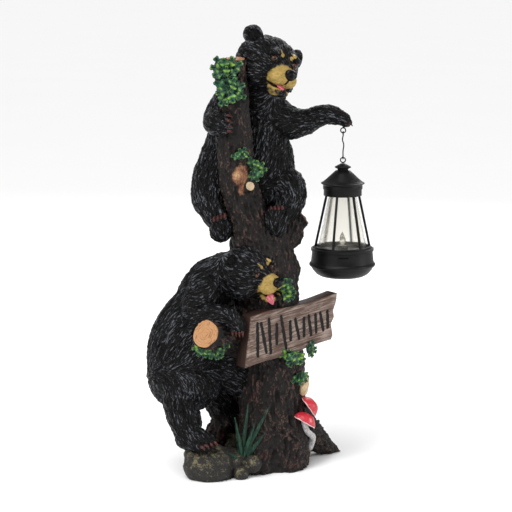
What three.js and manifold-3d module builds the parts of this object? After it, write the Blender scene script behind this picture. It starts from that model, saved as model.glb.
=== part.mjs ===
// Two bear cubs on a tree stump: a painted resin casting, with a lantern hung from the upper cub's paw.
// Millimetres, +Z up. The origin is on the ground under the trunk, and the sign board faces -Y.
import * as THREE from "three";
import { mergeVertices } from "three/addons/utils/BufferGeometryUtils.js";
import Module from "manifold-3d";

const wasm = await Module();
wasm.setup();

// Driving dimensions
const height = 500; // ground to the tip of the upper cub's ear
const quarterTurn = -30; // the figure is laid out as its front left quarter shows it, then turned by this
const clearance = 0.3; // between two pieces that touch
const facetError = 2.6; // how far a merged facet may leave the worked-out form
const clawLength = 10;
const clawRoot = 3; // how much of it is in the paw
const clawRadius = 2;
const earRadius = 10.5;
const leafThickness = 2.6;
const boardThickness = 22;
const boardLength = 118;
const boardHeightLeft = 54.5;
const boardHeightRight = 50;
const boardTilt = 9; // its right end up
const boardTurn = 34; // its right end back
const boardLean = 0.3; // how far its ends slope to the right, per mm up
const strokeDepth = 1.4;
const strokeWidth = 4;
const wireRadius = 0.7;
const ringRadius = 2.8; // the paw eye and the lantern's ring, to the middle of the wire
const hookBend = 2.2; // each end of the hook, to the middle of the wire
const lanternRimRadius = 25; // the widest edge of the roof
const lanternBaseRadius = 38;
const wall = 1.6;
const barCount = 6;
const barWidth = 2.6;
const slotWidth = 11;
const slotHeight = 2;
const slotDepth = 1.5;
const socketRadius = 6.5;
const socketHeight = 5; // its top over the base's floor
const bulbRadius = 4;
const bulbHeight = 16;

const v3 = (x, y, z) => new THREE.Vector3(x, y, z);
const degrees = THREE.MathUtils.degToRad;
const turnBy = (x, y, z, order) =>
  new THREE.Matrix4().makeRotationFromEuler(new THREE.Euler(degrees(x), degrees(y), degrees(z), order));

// Solids

// A closed geometry as a solid that can be joined and cut.
function solid(geometry) {
  const bare = geometry.index ? geometry.toNonIndexed() : geometry.clone();
  const positions = new THREE.BufferGeometry().setAttribute("position", bare.getAttribute("position"));
  const merged = mergeVertices(positions, 1e-3);
  const mesh = new wasm.Mesh({
    numProp: 3,
    vertProperties: merged.getAttribute("position").array,
    triVerts: new Uint32Array(merged.index.array),
  });
  return new wasm.Manifold(mesh);
}

// The solid's surface as a geometry again.
function surface(made) {
  const mesh = made.getMesh();
  const geometry = new THREE.BufferGeometry();
  geometry.setAttribute("position", new THREE.BufferAttribute(new Float32Array(mesh.vertProperties), 3));
  geometry.setIndex(new THREE.BufferAttribute(new Uint32Array(mesh.triVerts), 1));
  return geometry;
}

const joined = (geometries) => geometries.map(solid).reduce((all, next) => all.add(next));

// Rings of points skinned into one closed body, each end drawn together at its pole.
function skin(rings, poles) {
  const sides = rings[0].length;
  const points = [...rings.flat(), ...poles];
  const index = [];
  for (let side = 0; side < sides; side++) {
    const next = (side + 1) % sides;
    for (let row = 0; row + 1 < rings.length; row++) {
      const [low, high] = [row * sides, (row + 1) * sides];
      index.push(low + side, low + next, high + next, low + side, high + next, high + side);
    }
    const last = (rings.length - 1) * sides;
    index.push(points.length - 2, next, side);
    index.push(points.length - 1, last + side, last + next);
  }
  return new THREE.BufferGeometry().setFromPoints(points).setIndex(index);
}

// A rounded form along a path. Each station is [x, y, z, half width, half depth]; relief scales the radius.
function limb(stations, { sides = 8, steps = 1, relief = () => 1, flatEnd = false } = {}) {
  const path = new THREE.CatmullRomCurve3(stations.map(([x, y, z]) => v3(x, y, z)));
  const girth = new THREE.CatmullRomCurve3(stations.map((s) => v3(s[3], s[4] ?? s[3], 0)));
  const rows = (stations.length - 1) * steps;
  const across = v3(1, 0, 0);
  const slid = (t, slide) => {
    const { x: wide, y: depth } = girth.getPoint(t);
    return path.getPoint(t).addScaledVector(path.getTangent(t), slide * Math.min(wide, depth));
  };
  const ring = (t, slide = 0, share = 1) => {
    const along = path.getTangent(t);
    across.addScaledVector(along, -across.dot(along)).normalize();
    const deep = v3().crossVectors(along, across);
    const { x: wide, y: depth } = girth.getPoint(t);
    return Array.from({ length: sides }, (_, side) => {
      const angle = (2 * Math.PI * side) / sides;
      const bump = share * relief(angle, t);
      return slid(t, slide)
        .addScaledVector(across, wide * bump * Math.cos(angle))
        .addScaledVector(deep, depth * bump * Math.sin(angle));
    });
  };
  const round = degrees(48);
  const rings = [ring(0, -Math.sin(round), Math.cos(round))];
  for (let row = 0; row <= rows; row++) rings.push(ring(row / rows));
  if (!flatEnd) rings.push(ring(1, Math.sin(round), Math.cos(round)));
  return skin(rings, [slid(0, -1), slid(1, flatEnd ? 0 : 1)]);
}

// An ellipsoid, its poles up and down.
function ball([x, y, z], [rx, ry, rz], { sides = 8, rows = 5, turn = [0, 0, 0] } = {}) {
  return new THREE.SphereGeometry(1, sides, rows)
    .rotateX(Math.PI / 2)
    .scale(rx, ry, rz)
    .applyMatrix4(turnBy(...turn))
    .translate(x, y, z);
}

// A row of four claws, their roots between two points, all pointing along aim.
function claws(from, to, aim) {
  const direction = v3(...aim).normalize();
  const turn = new THREE.Quaternion().setFromUnitVectors(v3(0, 1, 0), direction);
  return [0, 1, 2, 3].map((n) => {
    const root = v3(...from).lerp(v3(...to), n / 3);
    return new THREE.ConeGeometry(clawRadius, clawLength, 3)
      .translate(0, clawLength / 2 - clawRoot, 0)
      .applyQuaternion(turn)
      .translate(...root.toArray());
  });
}

// Bark: long ridges round a trunk that drift with height.
const bark = (depth, ridges) => (angle, t) =>
  1 + depth * Math.sin(ridges * angle + 5 * t) + 0.6 * depth * Math.sin((ridges + 4) * angle - 9 * t);

// Cubs

// An ear: a round dish turned about the line it faces along.
const earProfile = [[0, -0.5], [0.85, -0.35], [1, 0.2], [0.7, 0.2], [0, -0.1]];
const ear = (at, side) =>
  new THREE.LatheGeometry(earProfile.map(([r, y]) => new THREE.Vector2(r * earRadius, y * earRadius)), 7)
    .rotateX(Math.PI)
    .applyMatrix4(turnBy(-6, 0, side * 22))
    .translate(...at);

// The head looks along -Y in its own frame; the neck is left to the body.
function cubHead({ at, yaw, pitch, roll, scale, ears }) {
  const forms = [
    ball([-1, 1, 1.5], [35, 31.5, 28.5], { sides: 12, rows: 6 }),
    ball([0, -8, -10], [28, 23, 20], { sides: 10, rows: 4 }),
    // muzzle, nose, jaw and tongue
    ball([0, -28, -8], [17, 19, 12.5], { sides: 9, rows: 6 }),
    ball([0, -46, -4], [7, 5, 6], { rows: 4 }),
    ball([0, -29, -22.5], [13, 16, 8]),
    ball([0, -37, -19.5], [5, 7, 2.6], { sides: 5, rows: 4 }),
    ...[-1, 1].map((side) => ball([side * 13.5, -25.5, 7.5], [5, 4, 4], { sides: 6, rows: 4 })),
    ear(ears[0], -1),
    ear(ears[1], 1),
  ];
  const placed = turnBy(pitch, roll, yaw, "ZXY")
    .scale(v3(scale, scale, scale))
    .setPosition(...at);
  return surface(joined(forms)).applyMatrix4(placed);
}

const upperCub = () => [
  cubHead({
    at: [-2, 6, 456.5], yaw: 33, pitch: 6, roll: 21, scale: 1.05, ears: [[-31, 3, 23], [33, 5, 17]],
  }),
  limb(
    [[-10, 28, 312, 36, 34], [-8, 28, 348, 38, 34], [-13, 24, 388, 26, 27], [-7, 14, 420, 25, 25]],
    { sides: 12, steps: 2 },
  ),
  // the arm held out to the lantern
  limb([
    [2, 22, 400, 22], [20, 27, 391, 20], [40, 30, 391, 15],
    [lanternX - 21, lanternY - 1, eyeHeight + 17.5, 11.5],
    [lanternX - 7, lanternY, eyeHeight + 15.5, 9.5],
    [lanternX + 3, lanternY, eyeHeight + 10.5, 7],
  ]),
  ...claws(
    [lanternX + 3, lanternY - 5, eyeHeight + 10], [lanternX + 3, lanternY + 5, eyeHeight + 10], [1, 0, -0.5],
  ),
  // the arm round the trunk
  limb([
    [-40, 24, 418, 20], [-53, 18, 404, 18], [-59, -2, 394, 15], [-57, -20, 394, 14], [-51, -28, 394, 12],
  ]),
  ...claws([-49, -36, 404], [-49, -36, 387], [1, -0.3, -0.1]),
  // the legs either side of the trunk
  limb([
    [-47, 30, 370, 24], [-52, 28, 348, 28], [-67.5, 13, 319, 21.5], [-67, 2, 303, 18.5], [-60, -6, 289, 15],
  ]),
  ball([-54, -15, 276], [14, 10, 16], { turn: [14, 12, 0] }),
  ...claws([-62, -21, 284], [-50, -21, 288], [0.1, -0.5, 1]),
  limb([[0, 26, 324, 29], [22, 9, 316, 20], [21, -3, 299, 16], [11, -12, 288, 12]]),
  ball([7, -20, 284], [11.5, 10, 19], { turn: [10, -14, 0] }),
  ...claws([2, -24, 296], [14, -24, 297], [-0.1, -0.5, 1]),
];

const lowerCub = () => [
  cubHead({
    at: [-26, -22, 228.5], yaw: 52.5, pitch: 5.5, roll: -12, scale: 0.96, ears: [[-30, 1, 24.5], [29, 2, 24.5]],
  }),
  limb(
    [
      [-94, -12, 111, 46, 42], [-92, -12, 148, 45, 41], [-77, -14, 186, 34.5, 34], [-65, -16, 216, 27, 27],
      [-48, -18, 224, 26, 26],
    ],
    { sides: 12 },
  ),
  // the belly, against the trunk
  limb([[-74, -4, 136, 40], [-48, 2, 114, 30], [-24, 8, 98, 24]]),
  // the near arm, over the log
  limb([
    [-72, -36, 212, 19], [-80, -44, 184, 17], [-62, -54, 184, 14], [-46, -58, 184, 12], [-37, -59, 177, 9.5],
  ]),
  ...claws([-42, -64, 172], [-31, -63, 171], [0.2, -0.5, -1]),
  // the far arm, round the trunk
  limb([[-58, 10, 204, 18], [-46, 28, 192, 15], [-30, 38, 184, 13], [-16, 42, 180, 10]]),
  ...claws([-9, 44, 186], [-9, 45, 174], [1, 0.2, -0.1]),
  // the near leg and foot, on the stone
  limb([[-92, -30, 108, 31], [-99, -38, 82, 21], [-94, -44, 62, 18.5], [-91, -50, 48, 15]]),
  limb([[-92, -50, 46, 15, 14], [-80, -58, 46, 14, 13], [-71, -63, 44, 12, 10]]),
  ...claws([-77, -72, 42], [-63, -67, 46], [0.7, -0.7, -0.4]),
  // the far leg
  limb([[-78, 16, 100, 28], [-58, 30, 76, 24], [-50, 28, 52, 18]]),
  ball([-43, 22, 44], [19, 14, 13], { turn: [0, 0, -20] }),
];

// Tree

// The foot of the trunk: r over the angle, with a root at each heading that sinks away with height.
const roots = [
  { heading: 37, reach: 58, spread: 17, rise: 92 },
  { heading: -112, reach: 13, spread: 22, rise: 90 },
  { heading: 128, reach: 26, spread: 24, rise: 80 },
  { heading: 205, reach: 18, spread: 30, rise: 60 },
];

function trunk() {
  const rows = [
    [0, 5, 9, 41.5], [14, 5, 9, 41], [34, 4, 8, 39.5], [62, 3, 7, 39], [92, 3, 6, 38.5], [125, 2, 5, 37],
    [158, -1, 4, 35.5], [190, -3, 3, 35], [224, -6, 3, 36], [260, -10, 7, 36], [282, -10, 12, 29],
  ];
  const sides = 18;
  const ridge = bark(0.035, 7);
  const rings = rows.map(([z, x, y, radius]) =>
    Array.from({ length: sides }, (_, side) => {
      const angle = (2 * Math.PI * side) / sides;
      const reach = roots.reduce((sum, root) => {
        const past = THREE.MathUtils.radToDeg(angle) - root.heading;
        const off = THREE.MathUtils.euclideanModulo(past + 180, 360) - 180;
        const rise = Math.max(0, 1 - z / root.rise);
        return sum + root.reach * rise ** 2.2 * Math.exp(-((off / root.spread) ** 2));
      }, 0);
      const r = radius * ridge(angle, z / height) + reach;
      return v3(x + r * Math.cos(angle), y + r * Math.sin(angle), z);
    }),
  );
  return skin(rings, [v3(5, 9, 0), v3(-10, 14, 294)]);
}

const stem = () =>
  limb(
    [
      [-12, 0, 240, 27], [-20, -6, 274, 23], [-31, -9, 312, 21], [-37, -10, 340, 20], [-38, -12, 368, 19],
      [-39, -16, 396, 17], [-39, -21, 430, 14.5], [-39, -24, 464, 12],
    ],
    { sides: 10, relief: bark(0.05, 5), flatEnd: true },
  );

// A sawn branch from the trunk to its cut face.
const branch = (root, face, radius) => {
  const middle = root.map((c, n) => (c + face[n]) / 2);
  return limb([[...root, radius * 1.15], [...middle, radius * 1.03], [...face, radius]], {
    flatEnd: true,
    relief: bark(0.04, 5),
  });
};

const branches = () => [
  branch([-30, -14, 146], [-70, -70, 168], 16.5),
  // the broken stub on the right, the swelling it grows from and the one below
  branch([10, 12, 262], [37, 22, 282], 10),
  ball([16, 12, 268], [22, 20, 22]),
  ball([13, 5, 226], [22, 20, 21]),
  branch([-30, -16, 316], [-22, -37, 326], 5),
  // the scar of a broken branch
  ball([-34, -20, 337], [11, 8, 14], { turn: [0, -12, 0] }),
];

const stones = () => [
  ball([-68, -44, 12], [30, 30, 26], { sides: 10, turn: [0, 3, 20] }),
  ball([-82, -40, 24], [15, 22, 15], { rows: 4 }),
  ball([-50, -28, 8], [38, 28, 20]),
  ball([-52, 24, 14], [34, 26, 24], { turn: [0, 0, 15] }),
  ball([-19, -44, 14], [10.5, 9, 10.5]),
  ball([-32, -54, 5], [9, 8, 9.5], { rows: 4 }),
  // a dead knot standing behind the near foot
  limb([[-64, 6, 20, 14], [-60, 2, 40, 12], [-53, -10, 56, 9]], { flatEnd: true }),
];

// Leaves and fungi

// A lobed leaf lying in the XZ plane, its stalk at the origin and its tip up.
function leafBlade(length, width) {
  const shares = [0.85, 1, 0.8];
  const side = shares.map((share, n) => [(share * width) / 2, ((n + 0.9) / (shares.length + 0.4)) * length]);
  const outline = new THREE.Shape([
    new THREE.Vector2(0, 0),
    ...side.map(([x, y]) => new THREE.Vector2(x, y)),
    ...side.toReversed().map(([x, y]) => new THREE.Vector2(-x, y)),
  ]);
  return new THREE.ExtrudeGeometry(outline, { depth: leafThickness, bevelEnabled: false })
    .translate(0, 0, -leafThickness / 2)
    .rotateX(Math.PI / 2);
}

// Leaves round one point, their spins from first to last; the tuft faces -Y, then is turned by yaw and pitch.
// Every second leaf stands further out and is smaller.
function tuft({ at, first, last, count, length, yaw = 0, pitch = 0 }) {
  const blades = Array.from({ length: count }, (_, n) => {
    const size = length * (n % 2 ? 0.88 : 1);
    return leafBlade(size, size * 0.8)
      .rotateX(degrees(6))
      .rotateY(degrees(THREE.MathUtils.lerp(first, last, n / (count - 1))))
      .translate(0, n % 2 ? -1.5 : 0, 0);
  });
  const heart = ball([0, 4, 0], [length * 0.42, 7, length * 0.42], { sides: 5, rows: 3 });
  const turn = turnBy(pitch, 0, yaw, "ZXY");
  return [...blades, heart].map((form) => form.applyMatrix4(turn).translate(...at));
}

const leaves = () =>
  [
    // on the trunk's top
    { at: [-48, -35, 451], first: -130, last: 60, count: 4, length: 19, yaw: -8 },
    { at: [-43, -36, 435], first: -120, last: 190, count: 4, length: 20, pitch: -4 },
    // beside the scar
    { at: [-30, -29, 357], first: -60, last: 100, count: 3, length: 13, yaw: 8 },
    { at: [-18, -24, 343], first: -40, last: 200, count: 3, length: 18, yaw: 8 },
    // by the lower cub's nose
    { at: [15, -29, 208], first: -30, last: 150, count: 3, length: 20, yaw: 15 },
    // under the board
    { at: [26, -33, 138], first: -130, last: -230, count: 3, length: 20, yaw: 22 },
    { at: [42, -22, 138], first: 60, last: 130, count: 2, length: 15, yaw: 30 },
    // under the log
    { at: [-60, -57, 154], first: 110, last: 250, count: 3, length: 21, yaw: -5, pitch: 15 },
    // over the bracket fungus
    { at: [32, -16, 112], first: 130, last: 200, count: 2, length: 17, yaw: 40 },
  ].flatMap(tuft);

// A toadstool: its cap leans on the trunk, over a bent stalk.
const capProfile = [[0, 9], [6, 7.8], [10.5, 4], [12.3, -0.6], [10, 0.6], [0, 2.6]];
const cap = ([x, y, z], size, turn) =>
  new THREE.LatheGeometry(capProfile.map(([r, up]) => new THREE.Vector2(r * size, up * size)).reverse(), 8)
    .rotateX(Math.PI / 2)
    .applyMatrix4(turnBy(...turn))
    .translate(x, y, z);

const fungi = () => [
  cap([44, -8, 71], 1.05, [-8, 54, 0]),
  cap([39, -17, 56], 1.12, [-10, 30, 0]),
  limb(
    [[39, -12, 56, 3.6], [42, -9, 45, 3.6], [46, 2, 37, 3.8], [50, 16, 30, 4], [46, 18, 19, 4.6]],
    { sides: 6 },
  ),
  // the bracket fungus
  ball([39, -8, 96], [6, 9, 13], { sides: 8, turn: [0, 6, 0] }),
];

// A blade of grass that leans on the trunk, from its root to its tip.
const blade = (foot, tip) => {
  const waist = foot.map((c, n) => c * 0.45 + tip[n] * 0.55);
  return limb([[...foot, 3.2, 1.8], [...waist, 3.2, 1.8], [...tip, 1, 1]], { sides: 4 });
};

const grass = () =>
  [
    [[-30, -38, 18], [-24, -32, 80]], [[-32, -39, 18], [-39, -40, 66]], [[-26, -39, 18], [0, -35, 78]],
    [[-24, -39, 18], [-5, -38, 48]], [[-28, -40, 18], [-16, -37, 60]], [[-34, -42, 16], [-50, -52, 30]],
  ].map(([foot, tip]) => blade(foot, tip));

// Sign board

// Brush strokes from left to right: share of the length, size, lean in degrees
const brushStrokes = [
  [0.1, 37, -8], [0.17, 34, 3], [0.24, 38, -5], [0.32, 22, -9], [0.4, 38, 2], [0.48, 21, -6],
  [0.56, 23, 4], [0.64, 21, -8], [0.71, 23, 0], [0.78, 20, -5], [0.85, 21, 3], [0.92, 19, -7],
];

const boardTop = (t) => THREE.MathUtils.lerp(boardHeightLeft, boardHeightRight, t) + 1.6 * Math.sin(7 * t);
const boardAlong = (t, up) => t * boardLength + boardLean * up;
const placeBoard = (geometry) =>
  geometry
    .translate(0, 0, -boardThickness)
    .rotateZ(degrees(boardTilt))
    .rotateX(Math.PI / 2)
    .rotateZ(degrees(boardTurn))
    .translate(-26, -62, 127);

// The board: its left lower corner at the origin, ends cut on the slant, the right one ragged.
function board() {
  const ragged = [[0, 0], [1.5, 0.1], [-3, 0.36], [0.5, 0.5], [-2, 0.64], [1, 0.82], [1, 1]];
  const along = [0.25, 0.5, 0.75];
  const right = boardTop(1);
  const outline = new THREE.Shape([
    new THREE.Vector2(0, 3),
    new THREE.Vector2(3, 0),
    ...along.map((t) => new THREE.Vector2(t * boardLength, 0.8 * Math.sin(9 * t))),
    ...ragged.map(([out, share]) => new THREE.Vector2(boardAlong(1, share * right) + out, share * right)),
    ...along.toReversed().map((t) => new THREE.Vector2(boardAlong(t, boardTop(t)), boardTop(t))),
    new THREE.Vector2(boardAlong(0, boardTop(0)), boardTop(0) - 3),
  ]);
  return placeBoard(
    new THREE.ExtrudeGeometry(outline, {
      depth: boardThickness - 3,
      bevelThickness: 1.5,
      bevelSize: 1.5,
      bevelOffset: -1.5,
      bevelSegments: 1,
    }).translate(0, 0, 1.5),
  );
}

// A row of brush strokes that lean a little, sunk into the board's face.
const inscription = () =>
  joined(
    brushStrokes.map(([t, size, turn]) => {
      const middle = 0.5 * boardTop(t);
      return placeBoard(
        new THREE.BoxGeometry(strokeWidth, size, 2 * strokeDepth)
          .rotateZ(degrees(turn))
          .translate(boardAlong(t, middle), middle, boardThickness),
      );
    }),
  );

// Lantern and what it hangs from. Its axis stands at lanternX, lanternY.
const lanternX = 83;
const lanternY = 33;
const eyeHeight = 380.5; // centre of the paw eye
const hookLength = 33.5; // from there to the centre of the lantern's ring
const loopGap = 2 * wireRadius + clearance;
const hookTop = eyeHeight - ringRadius + loopGap - hookBend; // centre of the hook's upper bend
const ringHeight = eyeHeight - hookLength; // centre of the lantern's ring
const hookFoot = ringHeight + ringRadius - loopGap + hookBend; // centre of its lower bend
const collarTop = ringHeight - ringRadius - wireRadius - clearance;
const shankTop = eyeHeight + 9;

const atLantern = (geometry, z = 0) => geometry.translate(lanternX, lanternY, z);

// A profile of [radius, height] pairs turned about the lantern's axis; one that keeps off the axis is closed.
function turned(profile, sides = 16) {
  const closed = profile[0][0] > 0 ? [...profile, profile[0]] : profile;
  const points = closed.map(([r, z]) => new THREE.Vector2(r, z));
  return atLantern(new THREE.LatheGeometry(points, sides).rotateX(Math.PI / 2));
}

const wireRing = (z) =>
  atLantern(new THREE.TorusGeometry(ringRadius, wireRadius, 4, 10).rotateX(Math.PI / 2), z);

function pawEye() {
  const bottom = eyeHeight + ringRadius;
  const shank = new THREE.CylinderGeometry(wireRadius, wireRadius, shankTop - bottom, 6)
    .rotateX(Math.PI / 2)
    .translate(0, 0, (shankTop + bottom) / 2);
  return surface(joined([wireRing(eyeHeight), atLantern(shank)]));
}

const shankHole = () =>
  atLantern(
    new THREE.CylinderGeometry(wireRadius + clearance, wireRadius + clearance, 20, 8).rotateX(Math.PI / 2),
    shankTop + clearance - 10,
  );

function hook() {
  const bend = (centre, from, to) =>
    Array.from({ length: 6 }, (_, n) => {
      const angle = degrees(THREE.MathUtils.lerp(from, to, n / 5));
      return v3(0, hookBend * Math.cos(angle), centre + hookBend * Math.sin(angle));
    });
  const points = [
    ...bend(hookTop, -40, 265),
    v3(-0.7, 0, hookTop - hookBend - 5),
    v3(0.7, 0, hookTop - hookBend - 10),
    v3(0, 0, hookFoot + hookBend + 4),
    ...bend(hookFoot, 95, 400),
  ];
  const section = new THREE.Shape().absarc(0, 0, wireRadius, 0, 2 * Math.PI);
  const path = new THREE.CatmullRomCurve3(points);
  const options = { steps: 22, curveSegments: 2, bevelEnabled: false, extrudePath: path };
  return atLantern(new THREE.ExtrudeGeometry(section, options));
}

// The lantern's parts, each hung from the one above
const collarDepth = 7.2;
const roofDepth = 15;
const neckDepth = 14;
const cageDepth = 60;
const baseLip = 3;
const baseDepth = 33;
const roofTop = collarTop - collarDepth;
const rimHeight = roofTop - roofDepth;
const neckBottom = rimHeight - neckDepth;
const baseTop = neckBottom - cageDepth;
const baseFloor = baseTop - baseLip;
const baseBottom = baseTop - baseDepth;
const neckRadius = 21.8;
const glassTopRadius = 18.7;
const glassBottomRadius = 32;

const roof = () =>
  turned([
    [0, collarTop], [4, collarTop - 1], [9.5, collarTop - 4], [6.5, collarTop - 6], [8.5, roofTop],
    [lanternRimRadius, rimHeight + 0.8], [lanternRimRadius, rimHeight - 0.8], [22.6, rimHeight - 3],
    [22.6, rimHeight - 7], [neckRadius, rimHeight - 9], [neckRadius, neckBottom],
    [neckRadius - wall, neckBottom], [neckRadius - wall, rimHeight - 5], [0, roofTop - 2 * wall],
  ].reverse());

const base = () => {
  const r = lanternBaseRadius;
  const body = solid(
    turned([
      [0, baseFloor], [r - 4, baseFloor], [r - 4, baseTop], [r - 2.4, baseTop], [r - 2, baseTop - 3],
      [r - 3.2, baseTop - 4], [r - 2, baseTop - 15], [r, baseTop - 17], [r - 0.4, baseTop - 20],
      [r - 2.4, baseTop - 21], [r - 8, baseBottom + 4], [r - 14, baseBottom], [0, baseBottom],
    ].reverse()),
  );
  const slot = atLantern(new THREE.BoxGeometry(slotWidth, 2 * slotDepth + 2, slotHeight), baseTop - 7);
  return surface(body.subtract(solid(slot.translate(0, -(r - 1.6), 0))));
};

const glass = () => {
  const low = baseFloor + clearance;
  const high = neckBottom + 6;
  const bottom = glassBottomRadius - barWidth - clearance;
  const slope = (glassTopRadius - glassBottomRadius) / (neckBottom - baseTop);
  const top = bottom + slope * (high - low);
  return turned([[bottom, low], [top, high], [top - wall, high], [bottom - wall, low]]);
};

// Six bars between a ring under the roof and a ring on the base.
function cage() {
  const low = baseFloor + clearance;
  const high = neckBottom + 3;
  const slope = (glassTopRadius - glassBottomRadius) / (neckBottom - baseTop);
  const radius = (z) => glassBottomRadius + 1.2 + slope * (z - low);
  const hoop = (z, h) =>
    turned([
      [radius(z), z], [radius(z + h), z + h], [radius(z + h) - barWidth, z + h], [radius(z) - barWidth, z],
    ]);
  const bars = Array.from({ length: barCount }, (_, n) => {
    const path = [low + 1, high - 1].map((z) => v3(radius(z) - barWidth / 2, 0, z));
    const length = path[0].distanceTo(path[1]);
    const lean = Math.atan2(path[1].x - path[0].x, path[1].z - path[0].z);
    const middle = path[0].clone().lerp(path[1], 0.5);
    return atLantern(
      new THREE.BoxGeometry(barWidth * 0.9, barWidth, length)
        .rotateY(lean)
        .translate(...middle.toArray())
        .rotateZ(degrees(8 + (360 / barCount) * (n + 0.5)) - Math.PI / 2),
    );
  });
  return surface(joined([hoop(low, 4), hoop(high - 3, 3), ...bars]));
}

const socket = () => {
  const low = baseFloor + clearance;
  const high = baseFloor + socketHeight;
  return turned([[0, low], [socketRadius, low], [socketRadius, high], [0, high]], 12);
};

const bulb = () => {
  const foot = baseFloor + socketHeight + clearance;
  const flame = [[0, 0], [0.6, 0], [0.72, 0.12], [1, 0.32], [0.82, 0.55], [0.4, 0.8], [0, 1]];
  return turned(flame.map(([r, z]) => [r * bulbRadius, foot + z * bulbHeight]), 10);
};

// The casting, cut flat at the ground
const casting = () => {
  const forms = [
    trunk(), stem(), board(), ...branches(), ...stones(), ...upperCub(), ...lowerCub(), ...leaves(),
    ...fungi(), ...grass(),
  ];
  const ground = new THREE.BoxGeometry(2 * height, 2 * height, height).translate(0, 0, -height / 2);
  const cast = joined(forms).subtract(solid(ground));
  // merging facets can leave slivers of no volume beside the casting
  const [body] = cast.simplify(facetError).decompose().sort((a, b) => b.volume() - a.volume());
  return surface(body.subtract(solid(shankHole())).subtract(inscription()));
};

// Assembly
const resin = { color: 0x1c1a19, roughness: 0.55, metalness: 0 };
const blackMetal = { color: 0x17181a, roughness: 0.5, metalness: 0.3 };
const clear = { color: 0xe6e4dc, roughness: 0.1, metalness: 0, transparent: true, opacity: 0.35 };
const pieces = {
  cubs_on_stump: [casting(), resin],
  paw_eye: [pawEye(), blackMetal],
  lantern_hook: [hook(), blackMetal],
  lantern_ring: [wireRing(ringHeight), blackMetal],
  lantern_roof: [roof(), blackMetal],
  lantern_cage: [cage(), blackMetal],
  lantern_glass: [glass(), clear],
  lantern_base: [base(), blackMetal],
  lamp_socket: [socket(), blackMetal],
  flame_bulb: [bulb(), clear],
};

const statue = new THREE.Group();
for (const [name, [geometry, finish]] of Object.entries(pieces)) {
  const mesh = new THREE.Mesh(geometry, new THREE.MeshStandardMaterial(finish));
  mesh.name = name;
  statue.add(mesh);
}
statue.rotation.z = degrees(quarterTurn);

export default statue;
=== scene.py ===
"""Two bear cubs on a tree stump, painted resin, with a lantern hung from the upper cub's paw."""

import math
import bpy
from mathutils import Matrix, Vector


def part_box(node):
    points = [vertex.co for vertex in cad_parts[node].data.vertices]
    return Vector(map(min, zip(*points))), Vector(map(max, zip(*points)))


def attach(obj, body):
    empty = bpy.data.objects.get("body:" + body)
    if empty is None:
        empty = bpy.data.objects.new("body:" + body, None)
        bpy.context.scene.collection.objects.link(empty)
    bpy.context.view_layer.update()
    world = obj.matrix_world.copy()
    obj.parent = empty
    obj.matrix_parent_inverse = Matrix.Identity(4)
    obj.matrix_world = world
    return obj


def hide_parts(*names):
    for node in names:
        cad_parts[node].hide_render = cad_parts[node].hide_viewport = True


bl_info = {
    "name": "Bear Cub Statue",
    "version": (1, 0, 0),
    "blender": (4, 5, 0),
    "location": "3D View > Sidebar > Statue",
    "description": "Models and paints the statue around its packed frame",
    "category": "Add Mesh",
}

import bmesh
import bpy
import numpy as np
from bpy.props import FloatProperty, FloatVectorProperty, IntProperty, PointerProperty
from mathutils import Euler, Matrix, Vector, noise

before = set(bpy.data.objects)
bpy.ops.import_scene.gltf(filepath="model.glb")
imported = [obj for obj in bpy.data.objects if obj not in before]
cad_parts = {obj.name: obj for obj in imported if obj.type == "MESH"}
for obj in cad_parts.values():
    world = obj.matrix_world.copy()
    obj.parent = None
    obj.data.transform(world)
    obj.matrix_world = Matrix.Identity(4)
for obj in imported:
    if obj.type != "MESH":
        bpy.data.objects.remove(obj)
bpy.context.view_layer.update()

# The figure is laid out in millimetres as its front left quarter shows it, then turned and brought to metres
MM = 0.001
QUARTER_TURN = math.radians(-30)
LAYOUT = Matrix.Rotation(QUARTER_TURN, 4, "Z") @ Matrix.Scale(MM, 4)
CASTING = "cubs_on_stump"


# Sizes and colours


def measure(name, description, value, least=0.0):
    return FloatProperty(name=name, description=description, default=value, min=least)


class StatueSizes(bpy.types.PropertyGroup):
    """Depths and grains of the casting's relief, and the lantern's facets"""

    fur_voxel: measure("Fur mesh", "Edge of the cubs' mesh, in mm", 1.05, least=0.8)
    fur_depth: measure("Fur depth", "How far a strand stands out, in mm", 0.55)
    fur_width: measure("Fur width", "Across one strand, in mm", 2.3)
    bark_voxel: measure("Bark mesh", "Edge of the trunk's mesh, in mm", 1.45, least=0.8)
    bark_depth: measure("Bark depth", "How deep the bark is cut, in mm", 0.9)
    bark_width: measure("Bark width", "Across one plate of bark, in mm", 5.5)
    grain_depth: measure("Grain depth", "Depth of the board's grain, in mm", 0.55)
    stroke_depth: measure("Stroke depth", "How deep a brush stroke is sunk, in mm", 1.2)
    leaf_fold: measure("Leaf fold", "How far a leaf's edges stand over its rib, for a length of 1", 0.14)
    lathe_steps: IntProperty(name="Lathe steps", description="Facets round the lantern", default=72)


def swatch(name, value):
    return FloatVectorProperty(
        name=name, description=name + " of the statue", subtype="COLOR", size=3, min=0, max=1, default=value
    )


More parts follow.
